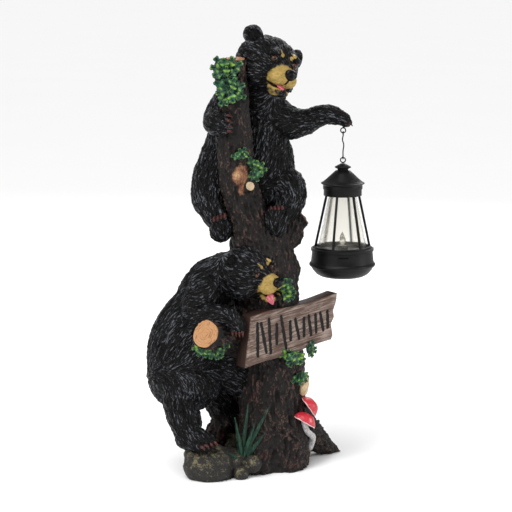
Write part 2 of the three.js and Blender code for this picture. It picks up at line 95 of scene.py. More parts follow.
class StatuePaint(bpy.types.PropertyGroup):
    """Colours of the paint, linear"""

    fur: swatch("Fur black", (0.0015, 0.0015, 0.0018))
    fur_brush: swatch("Fur highlight", (0.1, 0.105, 0.118))
    tan: swatch("Muzzle tan", (0.5, 0.345, 0.105))
    claw: swatch("Claw brown", (0.035, 0.009, 0.007))
    tongue: swatch("Tongue pink", (0.6, 0.1, 0.15))
    bark: swatch("Bark brown", (0.006, 0.0045, 0.004))
    bark_brush: swatch("Bark highlight", (0.105, 0.058, 0.042))
    cut_wood: swatch("Cut wood", (0.44, 0.22, 0.09))
    board: swatch("Board brown", (0.1, 0.06, 0.045))
    board_brush: swatch("Board highlight", (0.31, 0.24, 0.2))
    leaf: swatch("Leaf green", (0.005, 0.034, 0.024))
    leaf_brush: swatch("Leaf highlight", (0.2, 0.36, 0.02))
    cap: swatch("Cap red", (0.5, 0.02, 0.035))
    stone: swatch("Stone grey", (0.012, 0.011, 0.01))
    lichen: swatch("Lichen_and_highlight", (0.19, 0.165, 0.085))


# Modelling helpers


def deselect():
    bpy.ops.object.select_all(action="DESELECT")


def apply_modifiers(piece):
    bpy.context.view_layer.objects.active = piece
    for modifier in list(piece.modifiers):
        bpy.ops.object.modifier_apply(modifier=modifier.name)


def named(piece, name):
    piece.name = piece.data.name = name
    return piece


def join(objects, name):
    deselect()
    for each in objects:
        each.select_set(True)
    bpy.context.view_layer.objects.active = objects[0]
    bpy.ops.object.join()
    return named(bpy.context.object, name)


def face_outward():
    """Ends an edit: turns all faces of the mesh outward."""
    bpy.ops.mesh.select_all(action="SELECT")
    bpy.ops.mesh.normals_make_consistent(inside=False)
    bpy.ops.object.mode_set(mode="OBJECT")


def turned_by(angles):
    """A turn by angles in degrees about X, Y and Z."""
    return Euler([math.radians(a) for a in angles]).to_matrix().to_4x4()


def about(axis, angle):
    return Matrix.Rotation(math.radians(angle), 4, axis)


def bring_home(piece):
    """Puts the object's place, turn and size into its mesh."""
    deselect()
    piece.select_set(True)
    bpy.context.view_layer.objects.active = piece
    bpy.ops.object.transform_apply(location=True, rotation=True, scale=True)
    return piece


def hand_over(piece, material, node=CASTING, layout=True, angle=None):
    """Paints a finished piece and gives it its place in the frame."""
    bring_home(piece)
    if layout:
        piece.data.transform(LAYOUT)
    if angle is None:
        bpy.ops.object.shade_smooth()
    else:
        bpy.ops.object.shade_smooth_by_angle(angle=math.radians(angle))
    piece.data.materials.clear()
    piece.data.materials.append(material)
    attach(piece, "root")
    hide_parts(node)
    return piece


def ball(centre, radii, turn=(0, 0, 0), segments=24, rings=14):
    bpy.ops.mesh.primitive_uv_sphere_add(
        segments=segments,
        ring_count=rings,
        location=centre,
        rotation=[math.radians(a) for a in turn],
        scale=radii,
    )
    return bring_home(bpy.context.object)


def swept(places, radii, steps, bevel, closed=False):
    """A round body along a smooth path: steps from place to place, bevel for the facets of a quarter."""
    bpy.ops.curve.primitive_bezier_curve_add()
    path = bpy.context.object
    path.data.dimensions = "3D"
    spline = path.data.splines[0]
    spline.bezier_points.add(len(places) - 2)
    for point, place, radius in zip(spline.bezier_points, places, radii):
        point.co = place
        point.radius = radius
        point.handle_left_type = point.handle_right_type = "AUTO"
    spline.use_cyclic_u = closed
    spline.resolution_u = steps
    spline.radius_interpolation = "CARDINAL"
    path.data.bevel_depth = 1
    path.data.bevel_resolution = bevel
    path.data.use_fill_caps = not closed
    deselect()
    path.select_set(True)
    bpy.ops.object.convert(target="MESH")
    return bring_home(bpy.context.object)


def tube(stations, flat_end=False):
    """A rounded form along a path of [x, y, z, radius] stations."""
    body = swept([s[:3] for s in stations], [s[3] for s in stations], steps=8, bevel=5)
    ends = stations[:1] if flat_end else [stations[0], stations[-1]]
    return [body] + [ball(end[:3], [end[3]] * 3, segments=20, rings=12) for end in ends]


class Clay:
    """Forms that are pressed into one body, and the way the strands run over them."""

    def __init__(self):
        self.forms = []
        self.strands = []

    def ball(self, centre, radii, turn=(0, 0, 0)):
        self.forms.append(ball(centre, radii, turn))

    def limb(self, stations, flat_end=False):
        self.forms += tube(stations, flat_end)
        for here, there in zip(stations, stations[1:]):
            start, end = Vector(here[:3]), Vector(there[:3])
            self.strands.append(((start + end) / 2, (end - start).normalized(), 0.9 * here[3]))

    def add(self, forms):
        self.forms += forms

    def cast(self, name, voxel, smoothing):
        piece = join(self.forms, name)
        remesh = piece.modifiers.new("cast", "REMESH")
        remesh.mode = "VOXEL"
        remesh.voxel_size = voxel * 1
        smooth = piece.modifiers.new("soften", "SMOOTH")
        smooth.factor = 0.5
        smooth.iterations = smoothing
        apply_modifiers(piece)
        return piece


def mesh_arrays(piece):
    mesh = piece.data
    count = len(mesh.vertices)
    places = np.empty(count * 3)
    normals = np.empty(count * 3)
    mesh.vertices.foreach_get("co", places)
    mesh.vertex_normals.foreach_get("vector", normals)
    return places.reshape(-1, 3), normals.reshape(-1, 3)


def store(piece, name, values):
    kind = "FLOAT" if values.ndim == 1 else "FLOAT_VECTOR"
    attribute = piece.data.attributes.new(name, kind, "POINT")
    attribute.data.foreach_set("value" if values.ndim == 1 else "vector", values.astype(np.float32).ravel())


def streaks(places, flow, width, length, seed=0.0):
    """Noise that is drawn out along the flow: about width across and length along."""
    taps = 5
    total = np.zeros(len(places))
    for tap in np.linspace(-0.5, 0.5, taps):
        shifted = (places + flow * (tap * length)) / width + seed
        total += np.fromiter((noise.noise(p) for p in shifted.tolist()), float, len(shifted))
    return (total - total.mean()) / total.std()


def flow_over(places, normals, strands, around=None):
    """The direction of the strands at each point, laid flat on the surface."""
    flow = np.tile((0.0, 0.0, -0.25), (len(places), 1))
    for centre, direction, reach in strands:
        away = places - np.array(centre)
        weight = np.exp(-(away**2).sum(1) / (1.6 * reach) ** 2)
        flow += weight[:, None] * np.array(direction)
    if around:
        centre, radius = around
        away = places - np.array(centre)
        gap = np.linalg.norm(away, axis=1)
        weight = 3 / (1 + np.exp((gap - radius) / 6))
        flow += weight[:, None] * away / np.maximum(gap, 1)[:, None]
    flow -= normals * (flow * normals).sum(1)[:, None]
    return flow / np.maximum(np.linalg.norm(flow, axis=1), 1e-6)[:, None]


def move_out(piece, places, normals, heights):
    piece.data.vertices.foreach_set("co", (places + normals * heights[:, None]).ravel())
    piece.data.update()


# Shading


class Field:
    """A number that varies over a surface. Arithmetic on it adds Math nodes."""

    def __init__(self, paint, socket):
        self.paint = paint
        self.socket = socket

    def maths(self, operation, other=0.0, swap=False):
        pair = (other, self) if swap else (self, other)
        return self.paint.node("ShaderNodeMath", {"operation": operation}, dict(enumerate(pair)))

    def __add__(self, other):
        return self.maths("ADD", other)

    def __sub__(self, other):
        return self.maths("SUBTRACT", other)

    def __mul__(self, other):
        return self.maths("MULTIPLY", other)

    def __truediv__(self, other):
        return self.maths("DIVIDE", other)

    def __rsub__(self, other):
        return self.maths("SUBTRACT", other, swap=True)

    __radd__ = __add__
    __rmul__ = __mul__

    def over(self, low, high):
        """0 under low, 1 over high, and a soft step between."""
        settings = {"interpolation_type": "SMOOTHSTEP"}
        return self.paint.node("ShaderNodeMapRange", settings, {"Value": self, 1: low, 2: high})

    def larger(self, other):
        return self.maths("MAXIMUM", other)

    def size(self):
        return self.maths("ABSOLUTE")


class Paint:
    """A material and the nodes that give it its pattern."""

    def __init__(self, name, roughness=0.5, **plain):
        self.material = bpy.data.materials.new(name)
        self.material.use_nodes = True
        self.nodes = self.material.node_tree.nodes
        self.links = self.material.node_tree.links
        self.shader = self.nodes["Principled BSDF"]
        self.shader.inputs["Roughness"].default_value = roughness
        for socket, value in plain.items():
            self.shader.inputs[socket.replace("_", " ")].default_value = value
        self.here = self.node("ShaderNodeTexCoord", {}, {}, "Object")

    def node(self, kind, settings, inputs, output=0):
        made = self.nodes.new(kind)
        for key, value in settings.items():
            setattr(made, key, value)
        for key, value in inputs.items():
            self.plug(made.inputs[key], value)
        return Field(self, made.outputs[output])

    def plug(self, socket, value):
        if isinstance(value, Field):
            self.links.new(value.socket, socket)
        elif socket.type == "RGBA":
            socket.default_value = (*value, 1) if len(value) == 3 else value
        else:
            socket.default_value = value

    def noise(self, size, at=None, detail=3.0, roughness=0.55, distortion=0.0, unit=MM):
        """Noise with features of about size millimetres; unit is a millimetre in the coordinates at."""
        values = {
            "Vector": at or self.here,
            "Scale": 1 / (size * unit),
            "Detail": detail,
            "Roughness": roughness,
            "Distortion": distortion,
        }
        return self.node("ShaderNodeTexNoise", {}, values, "Fac")

    def vectors(self, operation, first, second=None, output=0):
        pair = {0: first} if second is None else {0: first, 1: second}
        return self.node("ShaderNodeVectorMath", {"operation": operation}, pair, output)

    def axis(self, at, name):
        return self.node("ShaderNodeSeparateXYZ", {}, {0: at}, name)

    def stretched(self, scale, turn=(0, 0, 0)):
        values = {"Vector": self.here, "Scale": scale, "Rotation": turn}
        return self.node("ShaderNodeMapping", {}, values)

    def local(self, matrix):
        """Coordinates in millimetres in the frame of a part that stands at matrix."""
        place, turn, size = matrix.decompose()
        values = {"Vector": self.here, "Location": place, "Rotation": turn.to_euler(), "Scale": size}
        return self.node("ShaderNodeMapping", {"vector_type": "TEXTURE"}, values)

    def blob(self, at, centre, radii, wobble=None):
        """1 in the middle of an ellipsoid, 0 on its skin and negative outside."""
        scaled = self.vectors("DIVIDE", self.vectors("SUBTRACT", at, centre), radii)
        inside = 1 - self.vectors("LENGTH", scaled, output="Value")
        return inside + wobble if wobble else inside

    def attribute(self, name, output="Fac"):
        return self.node("ShaderNodeAttribute", {"attribute_name": name}, {}, output)

    def mix(self, factor, below, above):
        values = {"Factor": factor, 6: below, 7: above}
        return self.node("ShaderNodeMix", {"data_type": "RGBA"}, values, 2)

    def finish(self, colour, roughness=None, height=None, depth=0.5):
        """Links the pattern to the shader; height is in the unit of depth, in millimetres."""
        self.plug(self.shader.inputs["Base Color"], colour)
        if roughness is not None:
            self.plug(self.shader.inputs["Roughness"], roughness)
        if height is not None:
            values = {"Height": height, "Distance": depth * MM, "Strength": 1.0}
            self.plug(self.shader.inputs["Normal"], self.node("ShaderNodeBump", {}, values))
        return self.material


def sizes():
    return bpy.context.scene.statue_sizes


def colours():
    return {key: tuple(getattr(bpy.context.scene.statue_paint, key)) for key in StatuePaint.__annotations__}


def shade(share, colour):
    return tuple(share * c for c in colour)


# Cubs


def head_frame(at, yaw, pitch, roll, scale):
    """The frame of a head that looks along -Y in its own."""
    turn = about("Z", yaw) @ about("X", pitch) @ about("Y", roll)
    return Matrix.Translation(at) @ turn @ Matrix.Scale(scale, 4)


UPPER_HEAD = head_frame((-2, 6, 456.5), yaw=33, pitch=6, roll=21, scale=1.05)
LOWER_HEAD = head_frame((-26, -22, 228.5), yaw=52.5, pitch=5.5, roll=-12, scale=0.96)
UPPER_EARS = ((-31, 3, 23), (33, 5, 17))
LOWER_EARS = ((-30, 1, 24.5), (29, 2, 24.5))
NOSE_TIP = (0, -46, -4)
EYE = (13.3, -26.4, 6.6)
# A tongue: its middle, radii and turn
UPPER_TONGUE = ((-2.4, -41, -19.4), (4, 5, 1.9), (18, 0, 0))
LOWER_TONGUE = ((-9, -41.5, -22.4), (6, 6.6, 1.8), (68, 0, 0))


def head_forms(head, ears):
    """Skull, cheeks, muzzle, jaw, brows and ears, in the head's own frame."""
    forms = [
        ball((-1, 1, 1.5), (35, 31.5, 28.5)),
        ball((0, -30, -7.5), (15, 16, 11)),
        ball((0, -22, -5), (17, 17, 13)),
        ball((0, -20, 4), (10, 15, 9)),
        ball((0, -32, -23.5), (12, 14, 6)),
        ball((0, -16, -17), (16, 13, 12)),
    ]
    for side in (-1, 1):
        forms += [
            ball((side * 13, -6, -11), (20, 20, 17)),
            ball((side * 7, -35, -9.5), (9, 9.5, 8.5)),
            ball((side * 13.5, -22, 14), (9, 8.5, 4.5), turn=(0, side * 14, 0)),
            ball((side * 15, -22, 0), (9, 7, 4.5)),
        ]
    for side, place in zip((-1, 1), ears):
        forms.append(ball(place, (10, 3.6, 10), turn=(-6, 0, side * 22)))
        turn = Euler((math.radians(84), 0, math.radians(side * 22)))
        bpy.ops.mesh.primitive_torus_add(
            location=Vector(place) + Vector((0, -3.4, 0)),
            rotation=turn,
            major_radius=8.3,
            minor_radius=2.5,
            major_segments=28,
            minor_segments=10,
        )
        forms.append(bring_home(bpy.context.object))
    for form in forms:
        form.data.transform(head)
    return forms


def toes(spots, radius):
    return [ball(spot, [radius] * 3, segments=16, rings=10) for spot in spots]


def row(start, end, count=4):
    return [tuple(Vector(start).lerp(Vector(end), n / (count - 1))) for n in range(count)]


# Each row of claws: first root, last root, the way they point
UPPER_CLAWS = [
    ((86, 28, 390.5), (86, 38, 390.5), (1, 0, -0.5)),
    ((-49, -36, 404), (-49, -36, 387), (1, -0.3, -0.1)),
    ((-62, -21, 284), (-50, -21, 288), (0.1, -0.5, 1)),
    ((2, -24, 296), (14, -24, 297), (-0.1, -0.5, 1)),
]
LOWER_CLAWS = [
    ((-42, -64, 172), (-31, -63, 171), (0.2, -0.5, -1)),
    ((-9, 44, 186), (-9, 45, 174), (1, 0.2, -0.1)),
    ((-77, -72, 42), (-63, -67, 46), (0.7, -0.7, -0.4)),
]


# Each cub's trunk, arms and legs, as stations of x, y, z and radius
UPPER_LIMBS = [
    [(-10, 28, 312, 35), (-8, 28, 348, 36), (-13, 24, 388, 27), (-7, 14, 420, 25), (-4, 8, 450, 22)],
    [
        (2, 22, 400, 22), (20, 27, 391, 20), (40, 30, 391, 15), (62, 32, 398, 11.5), (76, 33, 396, 9.5),
        (86, 33, 391, 7),
    ],
    [(-40, 24, 418, 20), (-53, 18, 404, 18), (-59, -2, 394, 15), (-57, -20, 394, 14), (-51, -28, 394, 12)],
    [
        (-47, 30, 370, 24), (-52, 28, 348, 28), (-67.5, 13, 319, 21.5), (-67, 2, 303, 18.5),
        (-60, -6, 289, 15),
    ],
    [(0, 26, 324, 29), (22, 9, 316, 20), (21, -3, 299, 16), (11, -12, 288, 12)],
]
LOWER_LIMBS = [
    [
        (-94, -12, 111, 44.5), (-92, -12, 148, 43.5), (-77, -14, 186, 34), (-65, -16, 216, 27),
        (-48, -18, 224, 26),
    ],
    [(-74, -4, 136, 39), (-48, 2, 114, 29), (-26, 8, 98, 22)],
    [
        (-72, -36, 212, 19), (-80, -44, 184, 17), (-62, -54, 184, 14), (-46, -58, 184, 12),
        (-37, -59, 177, 9.5),
    ],
    [(-58, 10, 204, 18), (-46, 28, 192, 15), (-30, 38, 184, 13), (-16, 42, 180, 10)],
    [(-92, -30, 108, 31), (-99, -38, 82, 21), (-94, -44, 62, 18.5), (-91, -50, 48, 15)],
    [(-92, -50, 46, 14), (-80, -58, 46, 13.5), (-71, -63, 44, 11)],
    [(-78, 16, 100, 28), (-58, 30, 76, 24), (-50, 28, 52, 17)],
]
# The radius of each cub's toes
UPPER_TOE = 3.4
LOWER_TOE = 3.6
# Each cub's feet: middle, radii and turn
UPPER_FEET = [((-54, -15, 276), (14, 10, 16), (14, 12, 0)), ((7, -20, 284), (11.5, 10, 19), (10, -14, 0))]
LOWER_FEET = [((-43, 22, 44), (18, 14, 13), (0, 0, -20))]


def cub_body(limbs, feet, claws, toe, head, ears):
    clay = Clay()
    for stations in limbs:
        clay.limb(stations)
    for middle, radii, turn in feet:
        clay.ball(middle, radii, turn)
    for first, last, _ in claws:
        clay.add(toes(row(first, last), toe))
    clay.add(head_forms(head, ears))
    return clay


def mouth_line(y):
    """The height of the parted lips at a depth in the head's frame: it rises to the corners."""
    return (y + 37) * (y + 37) * 0.012 - 19.6


def gap_to(places, point):
    return np.linalg.norm(places - np.array(point), axis=1)


def fur_cub(name, clay, head, ears, material):
    """Casts a cub, parts its lips and combs fur into its skin, shorter on the face and ears."""
    plan = sizes()
    piece = clay.cast(name, plan.fur_voxel, smoothing=7)
    places, normals = mesh_arrays(piece)
    nose = head @ Vector(NOSE_TIP)
    flow = flow_over(places, normals, clay.strands, around=(nose, 62))
    fine = streaks(places, flow, plan.fur_width, 8, seed=3.7)
    clumps = streaks(places, flow, 2.4 * plan.fur_width, 18, seed=11.3)
    strands = 0.8 * fine + 0.6 * clumps
    from_nose = gap_to(places, nose)
    cover = np.clip((from_nose - 26) / 26, 0.12, 1)
    for ear in ears:
        cover = np.minimum(cover, np.clip((gap_to(places, head @ Vector(ear)) - 8) / 12, 0.3, 1))
    own = places @ np.array(head.inverted().to_3x3()).T + np.array(head.inverted().translation)
    across, depth, height = own.T
    lips = np.exp(-(((height - mouth_line(depth)) / 1.5) ** 2))
    lips *= (depth < -19) & (np.abs(across) < 18) & (from_nose < 50)
    # painted highlight on the ears' rims, on the side that the light comes from; it is added to the strand
    # attribute
    rim_highlights = sum(np.exp(-(((gap_to(own, ear) - 10.6) / 0.9) ** 2)) for ear in ears)
    lit = sum(np.clip(0.4 - 0.07 * (across - ear[0]), 0, 1) for ear in ears) / 2
    store(piece, "strand", strands * cover + 9 * rim_highlights * lit * (0.6 + 0.6 * fine))
    store(piece, "flow", flow @ np.array(Matrix.Rotation(QUARTER_TURN, 3, "Z")).T)
    move_out(piece, places, normals, plan.fur_depth * strands * cover - 1.5 * lips)
    return hand_over(piece, material)


BROWS = ((-5.3, -29, 13.6), (6.6, -29, 13.6), (-8.4, -28, 16.8), (9, -28, 17))


def hairs(paint):
    """Fine noise that is drawn out along the flow of the fur."""
    flow = paint.attribute("flow", "Vector")
    steps = (-1.6, -0.8, 0, 0.8, 1.6)
    total = 0
    for step in steps:
        slide = paint.node("ShaderNodeVectorMath", {"operation": "SCALE"}, {0: flow, "Scale": step * MM})
        total = paint.noise(1.4, paint.vectors("ADD", paint.here, slide), detail=1) + total
    return (total * (1 / len(steps)) - 0.5) * 7


def fur_paint(name, head, ears):
    """Black fur brushed with grey on its strands, the grey being dry-brushing and painted highlight together,
    with painted shade in the ears' dishes, and a tan muzzle and brows.
    """
    shades = colours()
    paint = Paint(name, roughness=0.3, Specular_IOR_Level=0.12)
    face = paint.local(LAYOUT @ head)
    strand = paint.attribute("strand")
    hair = hairs(paint)
    patches = paint.noise(26, detail=2)
    # the grey on the raised strands is dry-brushing and painted highlight together; the strand attribute also
    # carries the painted highlight on the ears' rims
    brushed = (strand * 0.22 + hair * 1.5 + (patches - 0.5) * 1.5).over(0.3, 1.3)
    coat = paint.mix(brushed, shades["fur"], shades["fur_brush"])
    wobble = (paint.noise(5) - 0.5) * 0.25
    across, depth, height = (paint.axis(face, name) for name in "XYZ")
    muzzle = paint.blob(face, (0, -38, -12), (19, 20, 17.5), wobble) * height.over(-20, -19)
    chin = paint.blob(face, (0, -33, -22.5), (12.5, 13, 8), wobble) * across.size().over(2.5, 5)
    brows = paint.blob(face, BROWS[0], (2.6, 8, 2.8), wobble)
    for centre in BROWS[1:]:
        brows = brows.larger(paint.blob(face, centre, (2.2, 8, 2.6), wobble))
    tan = muzzle.larger(chin).over(0.0, 0.12).larger(brows.over(0.0, 0.3))
    tone = paint.noise(2.2) * 0.7 + paint.noise(9) * 0.5
    warm = paint.mix(tone.over(0.4, 0.85), shade(0.68, shades["tan"]), shades["tan"])
    gap = (height - mouth_line(depth)).size()
    mouth = (1 - gap.over(0.9, 1.9)) * (1 - depth.over(-21, -18))
    groove = (1 - across.size().over(0.7, 1.8)) * (1 - depth.over(-42, -40)) * height.over(-21, -19)
    # painted shade: the hollows of the ears are left plain black, without the grey
    left, right = (paint.blob(face, (x, y - 6, z), (8, 8, 8)) for x, y, z in ears)
    dish_shade = left.larger(right)
    colour = paint.mix(tan, coat, warm)
    colour = paint.mix(dish_shade.over(0.0, 0.3), colour, shades["fur"])
    colour = paint.mix(mouth.larger(groove), colour, (0.006, 0.004, 0.004))
    return paint.finish(colour, 0.36 - hair * 0.08, hair, depth=0.7)


def claws_piece(name, rows, length=10):
    """Curved claws, tapered to a point, four in a row."""
    made = []
    for first, last, aim in rows:
        way = Vector(aim).normalized()
        for root in row(first, last):
            start = Vector(root) + way
            middle = start + way * (length * 0.45) + Vector((0, 0, 0.5))
            tip = start + way * (length * 0.72) - Vector((0, 0, 0.8))
            made += tube([(*start, 1.9), (*middle, 1.5), (*tip, 0.4)])
    return join(made, name)


def claw_paint():
    shades = colours()
    paint = Paint("claw_enamel", roughness=0.35, Specular_IOR_Level=0.25)
    # lighter spots on the claws: painted highlight, and rougher there like worn paint
    wear_and_highlight = paint.noise(2.5).over(0.4, 0.7)
    colour = paint.mix(wear_and_highlight, shades["claw"], shade(3, shades["claw"]))
    return paint.finish(colour, 0.3 + wear_and_highlight * 0.2, paint.noise(1.2), depth=0.3)


def face_pieces(prefix, head, tongue_form):
    """Eyes, a nose with nostrils and a tongue with a groove, in the head's own frame."""
    x, y, z = EYE
    eyes = join([ball((side * x, y, z), (4.0, 3.4, 3.7)) for side in (-1, 1)], prefix + "_eyes")
    nose = ball(NOSE_TIP, (7, 5.2, 6), segments=40, rings=28)
    for vertex in nose.data.vertices:
        for side in (-1, 1):
            gap = (vertex.co - Vector((side * 3, -50, -4.5))).length
            vertex.co.y += 1.8 * max(0, 1 - gap / 2.4)
        vertex.co.x *= 1 + 0.03 * (vertex.co.z - NOSE_TIP[2])
    named(nose, prefix + "_nose")
    middle, radii, turn = tongue_form
    tongue = ball((0, 0, 0), radii)
    for vertex in tongue.data.vertices:
        vertex.co.z -= 0.7 * math.exp(-((vertex.co.x / 1.2) ** 2)) * (vertex.co.z > 0)
        vertex.co.x *= 1 + 0.5 * vertex.co.y / radii[1]
    tongue.data.transform(Matrix.Translation(middle) @ turned_by(turn))
    named(tongue, prefix + "_tongue")
    for piece in (eyes, nose, tongue):
        piece.data.transform(head)
    return eyes, nose, tongue


def eye_paint(name, head):
    """A brown iris round a black pupil."""
    paint = Paint(name, roughness=0.03, Specular_IOR_Level=0.4)
    face = paint.local(LAYOUT @ head)
    x, y, z = EYE
    left, right = (paint.blob(face, (side * x, y - 3, z), (1.9, 2.4, 2.1)) for side in (-1, 1))
    pupil = left.larger(right)
    brown = paint.mix(paint.noise(3).over(0.4, 0.6), (0.012, 0.005, 0.003), (0.11, 0.038, 0.016))
    return paint.finish(paint.mix(pupil.over(0.0, 0.15), brown, (0.001, 0.001, 0.001)))


def nose_paint():
    paint = Paint("nose_enamel", roughness=0.2, Specular_IOR_Level=0.15)
    pebble = paint.noise(1.1, detail=1)
    colour = paint.mix(pebble.over(0.5, 0.75), (0.001, 0.001, 0.001), (0.012, 0.012, 0.013))
    return paint.finish(colour, None, pebble, 0.35)


def tongue_paint():
    shades = colours()
    paint = Paint("tongue_enamel", roughness=0.3)
    wet = paint.noise(2)
    colour = paint.mix(wet.over(0.35, 0.65), shade(0.6, shades["tongue"]), shades["tongue"])
    return paint.finish(colour, None, wet, 0.2)


# Tree and stones

TRUNK = [
    (5, 9, -6, 41), (5, 9, 14, 40.5), (4, 8, 50, 38), (3, 7, 80, 38), (3, 6, 105, 37),
    (2, 5, 130, 36), (-1, 4, 160, 35.5), (-3, 3, 192, 36), (-6, 3, 224, 36.5), (-10, 7, 256, 35),
]
STEM = [
    (-12, 0, 240, 27), (-20, -6, 274, 23), (-31, -9, 312, 21), (-37, -10, 340, 20), (-38, -12, 368, 19),
    (-39, -16, 396, 17), (-39, -21, 430, 14.5), (-39, -24, 464, 12),
]
# Roots: each from the trunk's foot to its tip
ROOTS = [
    [(20, 18, 62, 20), (42, 36, 33, 17), (60, 51, 13, 13), (77, 63, -1, 6)],
    [(14, -5, 50, 24), (17, -7, 24, 23), (18, -9, 2, 23)],
    [(-8, -8, 62, 24), (-12, -12, 30, 25), (-14, -16, 4, 25)],
    [(-8, 28, 60, 22), (-18, 44, 26, 20), (-27, 55, 4, 14)],
]
LOG = [(-30, -14, 146, 19), (-50, -42, 157, 17), (-70, -70, 168, 16.5)]
STUB = [(10, 12, 262, 12), (24, 17, 272, 10.5), (37, 22, 282, 10)]
TWIG = [(-30, -16, 316, 6), (-26, -26, 321, 5.2), (-22, -37, 326, 5)]
# Swellings of the trunk: middle, radii and turn. The last is the scar.
SCAR = (-34, -20, 337)
SWELLINGS = [
    ((16, 12, 268), (22, 20, 22), (0, 0, 0)),
    ((13, 5, 226), (21.5, 20, 21), (0, 0, 0)),
    (SCAR, (11, 8, 14), (0, -12, 0)),
]
KNOT = [(-64, 6, 14, 14), (-60, 2, 40, 12), (-53, -10, 56, 9)]


def build_trunk():
    """The trunk, its stem, roots and sawn branches, with bark cut into them."""
    plan = sizes()
    clay = Clay()
    clay.limb(TRUNK)
    clay.limb(STEM, flat_end=True)
    for root in ROOTS:
        clay.limb(root)
    for branch in (LOG, STUB, TWIG):
        clay.limb(branch, flat_end=True)
    for middle, radii, turn in SWELLINGS:
        clay.ball(middle, radii, turn)
    clay.limb(KNOT, flat_end=True)
    piece = clay.cast("trunk", plan.bark_voxel, smoothing=3)
    places, normals = mesh_arrays(piece)
    flow = flow_over(places, normals, clay.strands)
    plates = streaks(places, flow, plan.bark_width, 15, seed=5.1)
    rough = streaks(places, flow, 0.45 * plan.bark_width, 4, seed=1.9)
    ridges = 0.9 - 1.3 * np.abs(plates)
    bark = ridges + 0.7 * rough
    faces = np.ones(len(places))
    for end, reach in ((LOG, 17), (STUB, 11), (TWIG, 6), (STEM, 13)):
        tip = np.array(end[-1][:3])
        way = tip - np.array(end[-2][:3])
        way = way / np.linalg.norm(way)
        beyond = (places - tip) @ way
        near = gap_to(places, tip) < reach + 2
        faces[near & (beyond > -1.2)] = 0.15
    wound = np.linalg.norm((places - np.array(SCAR)) / (13, 12, 18), axis=1)
    faces *= np.clip((wound - 0.9) * 6, 0.3, 1)
    store(piece, "bark", bark * faces)
    move_out(piece, places, normals, plan.bark_depth * bark * faces)
    cut_at_ground(piece)
    return hand_over(piece, bark_paint())


def cut_at_ground(piece):
    """Trims what is under the ground and closes the cut."""
    deselect()
    piece.select_set(True)
    bpy.context.view_layer.objects.active = piece
    bpy.ops.object.mode_set(mode="EDIT")
    bpy.ops.mesh.select_all(action="SELECT")
    bpy.ops.mesh.bisect(plane_co=(0, 0, 0), plane_no=(0, 0, 1), use_fill=True, clear_inner=True)
    bpy.ops.mesh.select_all(action="SELECT")
    bpy.ops.mesh.quads_convert_to_tris()
    bpy.ops.object.mode_set(mode="OBJECT")


def bark_paint():
    """Brown-black bark with dry-brushed ridges, a pale scar and a knot."""
    shades = colours()
    paint = Paint("bark_paint", roughness=0.6, Specular_IOR_Level=0.25)
    relief = paint.attribute("bark")
    stretched = paint.stretched((1, 1, 0.6))
    fibre = paint.noise(1.5, stretched, detail=3)
    patches = paint.noise(30, detail=2)
    ridge = (relief * 0.6 + (fibre - 0.5) * 6 + (patches - 0.5) * 2.4).over(0.4, 1.5)
    reds = paint.noise(16).over(0.5, 0.75)
    brush = paint.mix(reds, shades["bark_brush"], (0.09, 0.02, 0.018))
    colour = paint.mix(ridge * 0.75, shades["bark"], brush)
    at = paint.local(LAYOUT)
    wobble = (paint.noise(5) - 0.5) * 0.7
    wound = paint.blob(at, (SCAR[0] + 1, SCAR[1] - 4, SCAR[2]), (11, 13, 13.5), wobble)
    drip = paint.blob(at, (SCAR[0] + 3, SCAR[1] - 4, SCAR[2] - 15), (5, 12, 10), wobble)
    heart = paint.blob(at, (SCAR[0] - 2, SCAR[1] - 4, SCAR[2] + 1), (7, 13, 8.5), wobble)
    raw = paint.mix(paint.noise(2.2, stretched).over(0.4, 0.62), (0.1, 0.035, 0.02), (0.27, 0.125, 0.065))
    cream = paint.mix(paint.noise(1.6).over(0.35, 0.65), (0.34, 0.17, 0.08), (0.52, 0.33, 0.17))
    raw = paint.mix(heart.over(0.0, 0.7), raw, cream)
    colour = paint.mix(wound.larger(drip * 0.6).over(0.0, 0.25), colour, raw)
    height = fibre * 0.7 + paint.noise(0.8) * 0.5
    return paint.finish(colour, 0.72 - fibre * 0.3, height, depth=0.9)


def cut_face(name, stations, share):
    """A sawn face: a shallow uneven disc seated on its branch, with a share of the branch's radius."""
    tip, before = Vector(stations[-1][:3]), Vector(stations[-2][:3])
    radius = stations[-1][3] * share
    bpy.ops.mesh.primitive_circle_add(vertices=48, radius=1, fill_type="NOTHING")
    disc = bpy.context.object
    bpy.ops.object.mode_set(mode="EDIT")
    bpy.ops.mesh.extrude_region_move(TRANSFORM_OT_translate={"value": (0, 0, 1.4)})
    for _ in range(4):
        bpy.ops.mesh.extrude_region_move()
        bpy.ops.transform.resize(value=(0.78, 0.78, 1))
    bpy.ops.mesh.edge_face_add()
    face_outward()
    for vertex in disc.data.vertices:
        angle = math.atan2(vertex.co.y, vertex.co.x)
        reach = math.hypot(vertex.co.x, vertex.co.y)
        uneven = 1 + 0.13 * noise.noise((math.cos(angle) * 1.6, math.sin(angle) * 1.6, radius))
        vertex.co.x *= radius * uneven
        vertex.co.y *= radius * uneven
        if vertex.co.z > 0.5:
            vertex.co.z += 0.9 * noise.noise(vertex.co * 0.35) - 0.5 * (1 - reach)
    disc.data.transform(Matrix.Translation(tip) @ (tip - before).to_track_quat("Z", "Y").to_matrix().to_4x4())
    return named(disc, name), tip


def cut_paint(name, tip, light, dark, ring):
    """Sawn wood: rings round the heart, with blotches and a fine grain over them."""
    paint = Paint(name, roughness=0.55)
    reach = paint.vectors("LENGTH", paint.vectors("SUBTRACT", paint.here, LAYOUT @ tip), output="Value") / MM
    rings = ((reach + paint.noise(8) * 9) * (2 * math.pi / ring)).maths("SINE") * 0.5 + 0.5
    blot = paint.noise(7).over(0.45, 0.7)
    tone = (rings * 0.45 + blot * 0.5 + (paint.noise(1.5) - 0.5) * 0.8).over(0.3, 0.95)
    return paint.finish(paint.mix(tone, light, dark), None, rings + paint.noise(1.5), 0.4)


